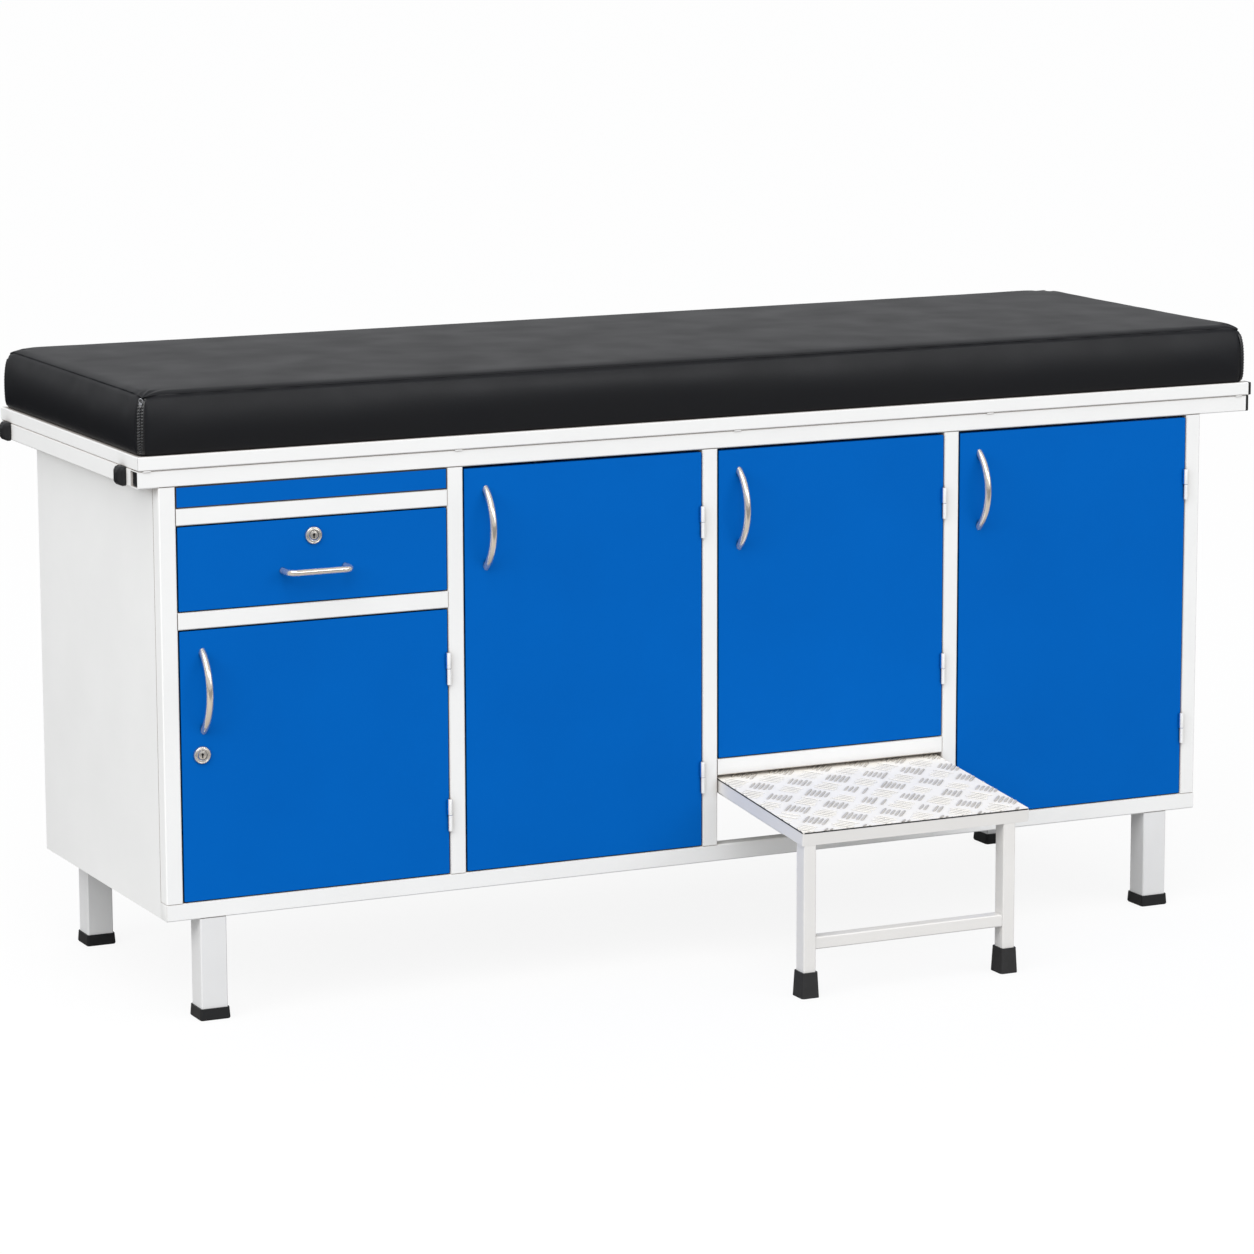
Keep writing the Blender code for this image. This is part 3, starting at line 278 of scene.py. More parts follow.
# stainless bar, satin polished along its length: long soft highlights
satinStainless = {
    "light": "F6EEE4", "dark": "EEE5D9", "patchMm": 60, "grainMm": 2.0,
    "roughness": (0.17, 0.21), "reliefMm": 0.01, "relief": 0.05, "metallic": 0.85, "specular": 0.5,
}
finishes = {
    # polyester powder coat, baked: a soft satin skin with a faint orange peel; painted shade darkens its gaps
    # and, softer and warmer, its inside corners and the faces under overhangs
    "whitePowderCoat": {
        **powderCoat, **whiteSeamShade, "light": "F4F4F3", "dark": "EBEBEA", "patchMm": 140,
        "roughness": (0.30, 0.42), "specular": 0.35,
        "shadeMm": 18.0, "shadeHex": "B9B1AA", "shadeSpan": (0.35, 0.95),
    },
    # the same coat in two more copies: a shade greyer on the legs, painted shade for the cabinet's shadow
    # over them, and warmer on the step, painted light that cancels the blue the doors throw on it
    "shadedWhitePowderCoat": {
        **powderCoat, **whiteSeamShade, "light": "E6E6E6", "dark": "DDDDDD", "patchMm": 90,
        "roughness": (0.34, 0.46), "specular": 0.3,
    },
    "warmedWhitePowderCoat": {
        **powderCoat, **whiteSeamShade, "light": "EAE8E5", "dark": "E1DFDC", "patchMm": 90,
        "roughness": (0.34, 0.46), "specular": 0.3,
    },
    # blue powder coat: deep colour, almost no glare, the same peel; painted shade darkens the gaps round the
    # doors and drawer
    "bluePowderCoat": {
        **powderCoat, "light": "0062BC", "dark": "005CB3", "patchMm": 160,
        "roughness": (0.38, 0.50), "specular": 0.03,
        "seamMm": 5.0, "seamHex": "00152E", "seamSpan": (0.15, 0.75),
    },
    # moulded polyethylene: spark-eroded tool face, soft sheen
    "mouldedPolyethylene": {
        "light": "1F2022", "dark": "17181A", "patchMm": 18, "grainMm": 1.2,
        "roughness": (0.40, 0.54), "reliefMm": 0.10, "relief": 0.4, "specular": 0.32,
    },
    # moulded rubber: dull, slightly dusty
    "mouldedRubber": {
        "light": "2C2C2D", "dark": "1F1F20", "patchMm": 12, "grainMm": 1.5,
        "roughness": (0.52, 0.70), "reliefMm": 0.12, "relief": 0.4, "specular": 0.4,
    },
    "satinStainlessUpright": {**satinStainless, "stretch": (1, 1, 0.05)},
    "satinStainlessLevel": {**satinStainless, "stretch": (0.05, 1, 1)},
    # nickel-plated die casting on the locks: bright, with fine polishing marks, and painted shade darkening
    # its grooves
    "nickelPlate": {
        "light": "EAE6E0", "dark": "D9D4CD", "patchMm": 6, "grainMm": 0.8,
        "roughness": (0.18, 0.24), "reliefMm": 0.01, "relief": 0.1, "metallic": 0.8, "specular": 0.5,
        "seamMm": 1.5, "seamHex": "2E2B28", "seamSpan": (0.3, 0.8),
    },
    # zinc-plated steel: pale grey with a cloudy passivation
    "zincPlatedSteel": {
        "light": "C9CCD0", "dark": "A9ADB2", "patchMm": 8, "grainMm": 1.2,
        "roughness": (0.30, 0.48), "reliefMm": 0.03, "relief": 0.3, "metallic": 1.0, "specular": 0.5,
    },
    # rolled aluminium tread plate, mill finish: bright and diffuse, warmed a little as painted light that
    # cancels the blue the doors throw on it, with painted shade and shoe grime at the foot of each bar
    "rolledAluminium": {
        "light": "F7F3EB", "dark": "EDE9E1", "patchMm": 40, "stretch": (0.08, 1, 1), "grainMm": 2.5,
        "roughness": (0.52, 0.66), "reliefMm": 0.04, "relief": 0.35, "specular": 0.2,
        "seamMm": 4.5, "seamHex": "3A3B3C", "seamSpan": (0.55, 0.93),
    },
    # the same metal in a darker copy for the bars that run the other way, painted shade for how the light
    # falls on them; painted shade and grime at the foot of each bar as on the plate
    "shadedAluminium": {
        "light": "E0DAD0", "dark": "BCB6AC", "patchMm": 15, "grainMm": 2.0,
        "roughness": (0.40, 0.56), "reliefMm": 0.04, "relief": 0.35, "metallic": 0.1, "specular": 0.3,
        "seamMm": 3.0, "seamHex": "3A3B3C", "seamSpan": (0.50, 0.92),
    },
    # blackened zinc, die cast, on the zip's slider: rubbed bright in places
    "blackenedZinc": {
        "light": "D2D4D8", "dark": "6C6E72", "patchMm": 4, "grainMm": 0.7,
        "roughness": (0.18, 0.34), "reliefMm": 0.04, "relief": 0.4, "metallic": 0.9, "specular": 0.5,
    },
    # birch plywood, sanded: long pale grain
    "birchPlywood": {
        "light": "D8BE94", "dark": "B8945F", "patchMm": 60, "stretch": (0.06, 1, 1), "grainMm": 6.0,
        "roughness": (0.55, 0.75), "reliefMm": 0.15, "relief": 0.5, "specular": 0.4,
    },
    # the keyhole, a flat shape of oiled steel made near black with no glint: painted shade for the depth of
    # the hole
    "keyholeShadeSteel": {
        "light": "151515", "dark": "0A0A0A", "patchMm": 4, "grainMm": 1.0,
        "roughness": (0.5, 0.7), "reliefMm": 0.02, "relief": 0.2, "specular": 0.3,
    },
    # vinyl pulled tight over the corner seams, so it shines
    "stretchedVinyl": {
        "light": "17181B", "dark": "0E0F11", "patchMm": 5, "grainMm": 0.9,
        "roughness": (0.20, 0.32), "reliefMm": 0.08, "relief": 0.5, "specular": 0.75,
    },
    # sewing thread, spun polyester with wax: small soft glints
    "waxedThread": {
        "light": "6C6D70", "dark": "3A3B3E", "patchMm": 3, "grainMm": 0.5,
        "roughness": (0.30, 0.45), "reliefMm": 0.08, "relief": 0.5, "specular": 0.5,
    },
}
# upholstery vinyl, knife-coated and embossed: slow waves, and a pebble grain drawn coarse enough to show
vinyl = {
    "light": "15161A", "dark": "0F1013", "patchMm": 90, "patchDetail": 2.0,
    "roughness": (0.40, 0.47), "noiseSpan": (0.3, 0.7), "specular": 0.26,
    "pebbleMm": 2.6, "pebbleSoftness": 0.6, "pebbleRelief": 0.35, "pebbleDepthMm": 0.12,
    "creaseMm": 0.9, "creaseDetail": 3.0, "creaseShare": 0.4,
    "waveMm": 120, "waveDetail": 1.0, "waveRelief": 0.25, "waveDepthMm": 0.6,
}
materials = {}


def makeFinish(name, finish):
    look = {**plainFinish, **finish}
    material, shader = newMaterial(name, look["specular"])
    shader.inputs["Metallic"].default_value = look["metallic"]
    place = addNode(material, "TexCoord").outputs["Object"]
    patch = addNode(material, "TexNoise",
                    values={"Scale": 1000 / look["patchMm"], "Detail": look["patchDetail"]},
                    links={"Vector": place})
    tint = addNode(material, "Mix", colourMix,
                   {mixFirst: linear(look["light"]), mixSecond: linear(look["dark"])},
                   {mixShare: patch.outputs["Fac"]}).outputs[mixOut]
    # painted shade: where ambient occlusion finds a gap within seamMm, or a corner or overhang within
    # shadeMm, the colour darkens towards seamHex or shadeHex
    for shadeBand in ("shade", "seam"):
        if shadeBand + "Mm" not in look:
            continue
        low, high = look[shadeBand + "Span"]
        bare = addNode(material, "AmbientOcclusion", {"samples": look["shadeSamples"]},
                       {"Distance": look[shadeBand + "Mm"] / 1000})
        clear = addNode(material, "MapRange", values={"From Min": low, "From Max": high},
                        links={"Value": bare.outputs["AO"]})
        tint = addNode(material, "Mix", colourMix, {mixFirst: linear(look[shadeBand + "Hex"])},
                       {mixShare: clear.outputs["Result"], mixSecond: tint}).outputs[mixOut]
    drawn = addNode(material, "Mapping", values={"Scale": look["stretch"]}, links={"Vector": place})
    grain = addNode(material, "TexNoise",
                    values={"Scale": 1000 / look["grainMm"], "Detail": look["grainDetail"]},
                    links={"Vector": drawn.outputs["Vector"]}).outputs["Fac"]
    low, high = look["noiseSpan"]
    shiny, dull = look["roughness"]
    sheen = addNode(material, "MapRange",
                    values={"From Min": low, "From Max": high, "To Min": shiny, "To Max": dull},
                    links={"Value": grain})
    skin = addNode(material, "Bump",
                   values={"Strength": look["relief"], "Distance": look["reliefMm"] / 1000},
                   links={"Height": grain})
    linkShader(material, shader, {"Base Color": tint, "Roughness": sheen.outputs["Result"],
                                  "Normal": skin.outputs["Normal"]})
    materials[name] = material


def makeVinyl():
    material, shader = newMaterial("embossed upholstery vinyl", vinyl["specular"])
    place = addNode(material, "TexCoord").outputs["Object"]
    patch = addNode(material, "TexNoise",
                    values={"Scale": 1000 / vinyl["patchMm"], "Detail": vinyl["patchDetail"]},
                    links={"Vector": place}).outputs["Fac"]
    tint = addNode(material, "Mix", colourMix,
                   {mixFirst: linear(vinyl["light"]), mixSecond: linear(vinyl["dark"])}, {mixShare: patch})
    pebble = addNode(material, "TexVoronoi", {"feature": "SMOOTH_F1"},
                     {"Scale": 1000 / vinyl["pebbleMm"], "Smoothness": vinyl["pebbleSoftness"]},
                     {"Vector": place})
    crease = addNode(material, "TexNoise",
                     values={"Scale": 1000 / vinyl["creaseMm"], "Detail": vinyl["creaseDetail"]},
                     links={"Vector": place})
    low, high = vinyl["noiseSpan"]
    shiny, dull = vinyl["roughness"]
    sheen = addNode(material, "MapRange",
                    values={"From Min": low, "From Max": high, "To Min": shiny, "To Max": dull},
                    links={"Value": patch})
    wave = addNode(material, "TexNoise",
                   values={"Scale": 1000 / vinyl["waveMm"], "Detail": vinyl["waveDetail"]},
                   links={"Vector": place})
    slack = addNode(material, "Bump",
                    values={"Strength": vinyl["waveRelief"], "Distance": vinyl["waveDepthMm"] / 1000},
                    links={"Height": wave.outputs["Fac"]})
    grain = addNode(material, "Math", {"operation": "MULTIPLY_ADD"}, {1: vinyl["creaseShare"]},
                    {0: crease.outputs["Fac"], 2: pebble.outputs["Distance"]})
    skin = addNode(material, "Bump",
                   values={"Strength": vinyl["pebbleRelief"], "Distance": vinyl["pebbleDepthMm"] / 1000},
                   links={"Height": grain.outputs["Value"], "Normal": slack.outputs["Normal"]})
    linkShader(material, shader, {"Base Color": tint.outputs[mixOut], "Roughness": sheen.outputs["Result"],
                                  "Normal": skin.outputs["Normal"]})
    materials["vinyl"] = material


# which finish each node of the frame wears, by the start of its name; the first that fits counts
nodeFinishes = (
    ("door_handle", "satinStainlessUpright"),
    ("drawer_handle", "satinStainlessLevel"),
    ("door_lock", "nickelPlate"),
    ("drawer_lock", "nickelPlate"),
    ("door_", "bluePowderCoat"),
    ("drawer_front", "bluePowderCoat"),
    ("filler_strip", "bluePowderCoat"),
    ("leg_cap", "mouldedPolyethylene"),
    ("leg_", "shadedWhitePowderCoat"),
    ("step_frame", "warmedWhitePowderCoat"),
    ("step_crossbar", "warmedWhitePowderCoat"),
    ("end_bumper", "mouldedPolyethylene"),
    ("step_foot", "mouldedRubber"),
    ("step_axle", "zincPlatedSteel"),
    ("step_plate", "rolledAluminium"),
    ("mattress_board", "birchPlywood"),
    ("mattress", "vinyl"),
    ("", "whitePowderCoat"),
)
for finishName, finishLook in finishes.items():
    makeFinish(finishName, finishLook)
makeVinyl()
for nodeName, nodeObject in nodes.items():
    finishName = next(finish for start, finish in nodeFinishes if nodeName.startswith(start))
    nodeObject.material_slots[0].material = materials[finishName]
print("materials:", len(materials))

# Mattress: a boxed cover, swollen by air pressure between its seams
pad = {
    # its profile, as (inset, height) in mm from the solid's side and from the board
    "sides": ((6.0, 0.0), (3.2, 1.6), (1.6, 4.5), (0.6, 10.0), (0.1, 20.0), (0.0, 31.0), (0.1, 42.0),
              (0.7, 53.0), (1.8, 62.0), (3.1, 69.0), (4.5, 75.0), (5.9, 79.5), (7.0, 82.0)),
    "seam": (10.2, 83.4),
    "top": ((7.8, 84.8), (8.6, 86.2), (10.2, 87.2), (12.6, 87.8), (16.0, 88.0)),
    "seamWave": 0.8, "seamWaveMm": 55.0, "seamSkew": 1.7, "ripple": 0.6, "rippleMm": 9.1,
    "cornerMm": 15.0, "leastCornerMm": 4.0, "startInsideMm": 1.0,
    # the sides draw in between the corners and the top is crowned; the powers keep both full near the ends
    "drawMm": 2.0, "drawPowers": (12, 4), "crownMm": 3.0, "crownPowers": (6, 2.2),
    # the four top corners slump, as the foam is thin there
    "slumpMm": 9.0, "slumpReachMm": 19.0, "slumpFromMm": 38.0,
    "coarseMm": 20.0, "nearEndMm": (0, 2.4, 5, 7.5, 10, 13, 16, 21, 29, 40, 54),
    "pressure": 4.0, "frames": 20, "capMm": 2.0, "fill": 0.95,
    "quality": 6, "stretchHold": 30.0, "shearHold": 15.0, "bendHold": 2.0, "seamHold": 0.9, "boardMm": 2.0,
    # the hollows beside the corner seams, on faces that don't look up
    "valleyMm": 1.5, "valleyAtMm": 9.0, "valleyWidthMm": 3.0, "valleyUpTo": 0.6,
}


def gridLines(half):
    ends = [m / 1000 for m in pad["nearEndMm"]]
    count = math.ceil((half - ends[-1]) / (pad["coarseMm"] / 1000))
    offsets = ends + [ends[-1] + (half - ends[-1]) * (i + 1) / count for i in range(count)]
    left = [d - half for d in offsets]
    return left + [-x for x in reversed(left[:-1])]


def roundedPoint(x, y, halfX, halfY, radius):
    overX, overY = abs(x) - (halfX - radius), abs(y) - (halfY - radius)
    if overX > 0 and overY > 0:
        pull = radius / math.hypot(overX, overY)
        x = math.copysign(halfX - radius + overX * pull, x)
        y = math.copysign(halfY - radius + overY * pull, y)
    return x, y


def padMesh():
    low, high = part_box("mattress")
    inside, corner, crown, draw = (pad[k] / 1000 for k in ("startInsideMm", "cornerMm", "crownMm", "drawMm"))
    leastCorner, slumpFrom = pad["leastCornerMm"] / 1000, pad["slumpFromMm"] / 1000
    drawX, drawY = pad["drawPowers"]
    crownX, crownY = pad["crownPowers"]
    centre = (low + high) / 2
    halfX, halfY = (high.x - low.x) / 2 - inside, (high.y - low.y) / 2 - inside
    seamLevel = low.z + pad["seam"][1] / 1000
    steps = (*pad["sides"], pad["seam"], *pad["top"])
    profile = [(margin / 1000, low.z + height / 1000) for margin, height in steps]
    top = profile[-1][1]
    xs, ys = gridLines(halfX), gridLines(halfY)
    lastX, lastY = len(xs) - 1, len(ys) - 1
    loop = [(i, 0) for i in range(lastX)] + [(lastX, j) for j in range(lastY)]
    loop += [(i, lastY) for i in range(lastX, 0, -1)] + [(0, j) for j in range(lastY, 0, -1)]
    bm = bmesh.new()

    def point(i, j, margin, height):
        if height == seamLevel:
            run = 1000 * (xs[i] + pad["seamSkew"] * ys[j])
            wave = math.sin(2 * math.pi * run / pad["seamWaveMm"])
            margin += pad["seamWave"] / 1000 * (wave + pad["ripple"] * math.sin(run / pad["rippleMm"]))
        x, y = xs[i] * (1 - margin / halfX), ys[j] * (1 - margin / halfY)
        x, y = roundedPoint(x, y, halfX - margin, halfY - margin, max(corner - margin, leastCorner))
        y -= math.copysign(draw * math.cos(math.pi / 2 * x / halfX) * (abs(y) / halfY) ** drawY, y)
        x -= math.copysign(draw / 2 * math.cos(math.pi / 2 * y / halfY) * (abs(x) / halfX) ** drawX, x)
        rise = 0.0
        if height == top:
            rise = crown * (1 - (abs(ys[j]) / halfY) ** crownY) * (1 - (abs(xs[i]) / halfX) ** crownX)
        reach = math.hypot(halfX - abs(x), halfY - abs(y)) / (pad["slumpReachMm"] / 1000)
        share = max(0.0, (height - low.z - slumpFrom) / (top - low.z - slumpFrom))
        slump = pad["slumpMm"] / 1000 * math.exp(-reach * reach) * share * share
        return bm.verts.new((centre.x + x, centre.y + y, height + rise - slump))

    rings = [[point(i, j, margin, height) for i, j in loop] for margin, height in profile]
    for below, above in zip(rings, rings[1:]):
        for i in range(len(loop)):
            j = (i + 1) % len(loop)
            bm.faces.new((below[i], below[j], above[j], above[i]))
    for ring, (margin, height) in ((rings[0], profile[0]), (rings[-1], profile[-1])):
        lattice = dict(zip(loop, ring))
        for i in range(1, lastX):
            for j in range(1, lastY):
                lattice[i, j] = point(i, j, margin, height)
        for i in range(lastX):
            for j in range(lastY):
                bm.faces.new((lattice[i, j], lattice[i + 1, j], lattice[i + 1, j + 1], lattice[i, j + 1]))
    bm.verts.index_update()
    uprights = [loop.index(spot) for spot in ((0, 0), (lastX, 0), (lastX, lastY), (0, lastY))]
    held = [v.index for v in rings[len(pad["sides"])]]
    held += [ring[upright].index for ring in rings for upright in uprights]
    return bm, held


# what lies on the board stays flat, and the seams give a little
def inflate(piece, seams):
    scene = bpy.context.scene
    boardLevel = min(v.co.z for v in piece.data.vertices) + pad["boardMm"] / 1000
    pins = piece.vertex_groups.new(name="pins")
    pins.add(seams, pad["seamHold"], "REPLACE")
    pins.add([v.index for v in piece.data.vertices if v.co.z < boardLevel], 1.0, "REPLACE")
    cloth = piece.modifiers.new("inflate", "CLOTH")
    cover = cloth.settings
    cover.quality = pad["quality"]
    cover.tension_stiffness = cover.compression_stiffness = pad["stretchHold"]
    cover.shear_stiffness = pad["shearHold"]
    cover.bending_stiffness = pad["bendHold"]
    cover.use_pressure = True
    cover.uniform_pressure_force = pad["pressure"]
    cover.vertex_group_mass = "pins"
    cover.effector_weights.gravity = 0.0
    cloth.collision_settings.use_collision = False
    cloth.point_cache.frame_start, cloth.point_cache.frame_end = 1, pad["frames"]
    for step in range(1, pad["frames"] + 1):
        scene.frame_set(step)
    result = piece.evaluated_get(bpy.context.evaluated_depsgraph_get())
    swollen = [v.co.copy() for v in result.data.vertices]
    piece.modifiers.remove(cloth)
    piece.vertex_groups.remove(pins)
    cap, most = pad["capMm"] / 1000, 0.0
    for vertex, moved in zip(piece.data.vertices, swollen):
        shift = moved - vertex.co
        most = max(most, shift.length)
        if shift.length > cap:
            shift *= cap / shift.length
        vertex.co += shift
    scene.frame_set(1)
    print("mattress swollen, largest move before the cap %.1f mm" % (most * 1000))


# distance in mm round the corner from the nearest upright seam
def fromCorner(point, low, high):
    corner = pad["cornerMm"] / 1000
    centre = (low + high) / 2
    overX = abs(point.x - centre.x) - ((high.x - low.x) / 2 - corner)
    overY = abs(point.y - centre.y) - ((high.y - low.y) / 2 - corner)
    if overX > 0 and overY > 0:
        return 1000 * corner * abs(math.atan2(overY, overX) - math.pi / 4)
    return 1000 * (corner * math.pi / 4 - min(overX, overY))


def makeMattress():
    bm, seams = padMesh()
    piece = addPiece("mattress_cover", bm, materials["vinyl"], "cabinet")
    inflate(piece, seams)
    finer = piece.modifiers.new("finer", "SUBSURF")
    finer.levels = finer.render_levels = 1
    mesh = bpy.data.meshes.new_from_object(piece.evaluated_get(bpy.context.evaluated_depsgraph_get()))
    piece.modifiers.remove(finer)
    piece.data = mesh
    mesh.shade_smooth()
    low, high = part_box("mattress")
    moves = []
    for vertex in mesh.vertices:
        away = (fromCorner(vertex.co, low, high) - pad["valleyAtMm"]) / pad["valleyWidthMm"]
        upright = vertex.normal.z < pad["valleyUpTo"]
        depth = pad["valleyMm"] * math.exp(-away * away) if upright else 0.0
        moves.append(vertex.normal * (-depth / 1000))
    for vertex, move in zip(mesh.vertices, moves):
        vertex.co += move
    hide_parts("mattress")
    print("mattress:", len(mesh.vertices), "points")
    return piece


mattress = makeMattress()

# Corner seams: a puckered double ridge, stitched down its groove, with a zip's slider at the top of one
seam = {
    "seed": 7, "phases": (0.0, 6.28), "zipCorner": (-1, -1), "flat": 0.45, "plainDropMm": 7.2,
    # the ridge's section, as (along, out) in mm
    "section": ((-6.4, -0.8), (-5.2, 0.3), (-4.0, 1.4), (-2.9, 1.9), (-1.8, 1.4), (-0.8, 0.25), (0.0, -0.05),
                (0.8, 0.25), (1.8, 1.4), (2.9, 1.9), (4.0, 1.4), (5.2, 0.3), (6.4, -0.8)),
    "stepMm": 0.9, "startMm": 3.0, "endMm": 84.5, "castFromMm": 60.0, "facing": 0.55, "roundMm": 14.0,
    "puckerMm": 4.4, "pucker": 0.42, "puckerReachMm": 4.0, "wanderMm": 0.3, "wanderEveryMm": 9.0,
    "footRise": (0.25, 8.0), "headRise": (0.4, 5.0), "backInMm": 2.5, "backHalfMm": 3.0,
    "stitchMm": 3.6, "stitchSpread": (0.92, 1.08), "firstStitchMm": 2.0, "bareStations": 6,
    "stitchSpan": (-1.6, 1.6), "stitchRise": 1.3, "stitchRadius": 0.5, "stitchOut": 1.2, "stitchSides": 6,
    "stitchShape": ((0, 0.35), (0.12, 0.85), (0.5, 1.0), (0.88, 0.85), (1, 0.35)),
    # the slider's ring, thicker at its foot, and its body as (drop, half width, half thickness) in mm
    "pullMm": (2.6, 3.6), "pullRadius": 0.85, "pullDropMm": 3.6, "pullOut": 3.6, "pullLeanMm": 0.7,
    "pullSteps": 20, "pullSides": 8, "pullWave": 0.22, "pullWaves": 3, "pullFoot": 0.2,
    "slider": ((2.6, 1.4, 0.7), (3.2, 2.2, 1.1), (5.0, 2.7, 1.4),
               (7.4, 2.2, 1.3), (9.0, 1.6, 1.0), (9.6, 0.9, 0.6)),
    "sliderRound": 0.6, "sliderSteps": 3,
}


# points up one corner of the finished cover, and the way out of it
def cornerPoints(tree, signX, signY):
    low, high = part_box("mattress")
    inset = pad["cornerMm"] / 1000
    out = Vector((signX, signY, 0)).normalized()
    x = (low.x + high.x) / 2 + signX * ((high.x - low.x) / 2 - inset)
    y = (low.y + high.y) / 2 + signY * ((high.y - low.y) / 2 - inset)
    points = []
    count = int((seam["endMm"] - seam["startMm"]) / seam["stepMm"])
    for i in range(count + 1):
        height = low.z + (seam["startMm"] + i * seam["stepMm"]) / 1000
        hit, facing = tree.ray_cast(Vector((x, y, height)) + out * (seam["castFromMm"] / 1000), -out)[:2]
        if hit and facing.dot(out) > seam["facing"]:
            points.append(hit)
    return points, out


def addRidge(bm, points, out, aside, phases, full):
    radius, half = seam["roundMm"] / 1000, seam["backHalfMm"] / 1000
    footStart, footMm = seam["footRise"]
    headStart, headMm = seam["headRise"]
    rows = []
    for i, hit in enumerate(points):
        run, left = i * seam["stepMm"], (len(points) - i) * seam["stepMm"]
        ends = min(1.0, footStart + run / footMm, headStart + left / headMm) * full
        wander = seam["wanderMm"] * math.sin(run / seam["wanderEveryMm"] + phases[2])
        row = []
        for along, rise in seam["section"]:
            gather = 1.0
            if abs(along) < seam["puckerReachMm"]:
                phase = phases[0] if along < 0 else phases[1]
                gather += seam["pucker"] * math.sin(2 * math.pi * run / seam["puckerMm"] + phase)
            lift = (rise * gather * ends if rise > 0 else rise) / 1000
            angle = (along + wander) / 1000 / radius
            spoke = out * math.cos(angle) + aside * math.sin(angle)
            row.append(hit - out * radius + spoke * (radius + lift))
        # the back of the strip lies inside the cover
        back = hit - out * (seam["backInMm"] / 1000)
        rows.append(row + [back + aside * half, back - aside * half])
    addLoft(bm, rows)


def addStitches(bm, points, out, aside, full, chance):
    left, right = (aside * (share / 1000) for share in seam["stitchSpan"])
    slant = Vector((0, 0, seam["stitchRise"] / 2000))
    stitch = seam["firstStitchMm"]
    while stitch < (len(points) - seam["bareStations"]) * seam["stepMm"]:
        base = points[int(stitch / seam["stepMm"])] + out * (seam["stitchOut"] * full / 1000)
        start, end = base + left - slant, base + right + slant
        along = (end - start).normalized()
        side = along.orthogonal().normalized()
        lift = along.cross(side)
        addLoft(bm, [circle(start.lerp(end, share), side, lift, seam["stitchRadius"] / 1000 * size,
                            seam["stitchSides"]) for share, size in seam["stitchShape"]])
        stitch += seam["stitchMm"] * chance.uniform(*seam["stitchSpread"])


def addSlider(bm, points, out, aside, phase):
    centre = points[-1 - int(seam["pullDropMm"] / seam["stepMm"])] + out * (seam["pullOut"] / 1000)
    wide, tall = seam["pullMm"]
    rings = []
    for k in range(seam["pullSteps"]):
        turn = 2 * math.pi * k / seam["pullSteps"]
        spoke = aside * (wide * math.cos(turn)) + Vector((0, 0, tall * math.sin(turn)))
        spot = centre + spoke / 1000 - out * (seam["pullLeanMm"] / 1000 * (1 - math.sin(turn)))
        wave = seam["pullWave"] * math.sin(seam["pullWaves"] * turn + phase)
        size = seam["pullRadius"] * (1 + wave - seam["pullFoot"] * math.sin(turn)) / 1000
        rings.append(circle(spot, spoke.normalized(), out, size, seam["pullSides"]))
    addLoft(bm, rings, closed=True)
    rings = []
    for drop, half, thick in seam["slider"]:
        foot = centre - Vector((0, 0, drop / 1000))
        outline = roundedOutline(half, thick, min(half, thick) * seam["sliderRound"], seam["sliderSteps"])
        rings.append([foot + aside * (a / 1000) + out * (b / 1000) for a, b in outline])
    addLoft(bm, rings)


def makeCornerSeams():
    chance = random.Random(seam["seed"])
    cover = mattress.data
    tree = BVHTree.FromPolygons([v.co for v in cover.vertices], [p.vertices for p in cover.polygons])
    ridges, threads, slider = bmesh.new(), bmesh.new(), bmesh.new()
    for signX, signY in corners:
        points, out = cornerPoints(tree, signX, signY)
        aside = Vector((0, 0, 1)).cross(out)
        phases = [chance.uniform(*seam["phases"]) for _ in range(3)]
        zipped = (signX, signY) == seam["zipCorner"]
        full = 1.0 if zipped else seam["flat"]
        if not zipped:
            points = points[:-int(seam["plainDropMm"] / seam["stepMm"])]
        addRidge(ridges, points, out, aside, phases, full)
        addStitches(threads, points, out, aside, full, chance)
        if zipped:
            addSlider(slider, points, out, aside, phases[0])
    addPiece("corner_seams", ridges, materials["stretchedVinyl"], "cabinet")
    addPiece("zip_slider", slider, materials["blackenedZinc"], "cabinet")
    addPiece("seam_stitches", threads, materials["waxedThread"], "cabinet")
    print("corner seams sewn")


makeCornerSeams()

# Tread plate: five-bar pattern, two ways round, on the tipped plate; the bars of one way wear a darker copy
# of the metal as painted shade, and a dark strip round the plate's edge is painted shade for the gap there
tread = {
    "seed": 11, "pitchAcrossMm": 64.0, "pitchAlongMm": 58.0, "startShare": (0.2, 0.6), "lean": 48.0,
    "barMm": 34.0, "widthMm": 3.7, "heightMm": 1.55, "sinkMm": 0.3, "spareMm": 0.2, "gapMm": 7.2, "bars": 5,
    "stations": 8, "sides": 4, "endPower": 4, "crownPower": 0.7, "wear": (0.72, 1.08), "lost": 0.06,
    "trimMm": 0.6,
    "stripMm": 0.45, "stripDrop": (0.25, 2.1), "stripEase": 0.7, "stripEaseMm": 0.2, "turnMm": 2.2,
    "ways": (("tread_bars_right", "rolledAluminium"), ("tread_bars_left", "shadedAluminium")),
}
treadUp = max(nodes["step_plate"].data.polygons, key=lambda face: face.area * face.normal.z).normal.copy()
treadRight = Vector((1, 0, 0))
treadBack = treadUp.cross(treadRight)
platePoints = [v.co for v in nodes["step_plate"].data.vertices]
plateTop = max(p.dot(treadUp) for p in platePoints)
plateLeft, plateRight = min(p.x for p in platePoints), max(p.x for p in platePoints)
plateDepths = [p.dot(treadBack) for p in platePoints]
plateFront, plateRear = min(plateDepths), max(plateDepths)


def onPlate(x, y, z):
    return treadRight * x + treadBack * y + treadUp * (plateTop + z)


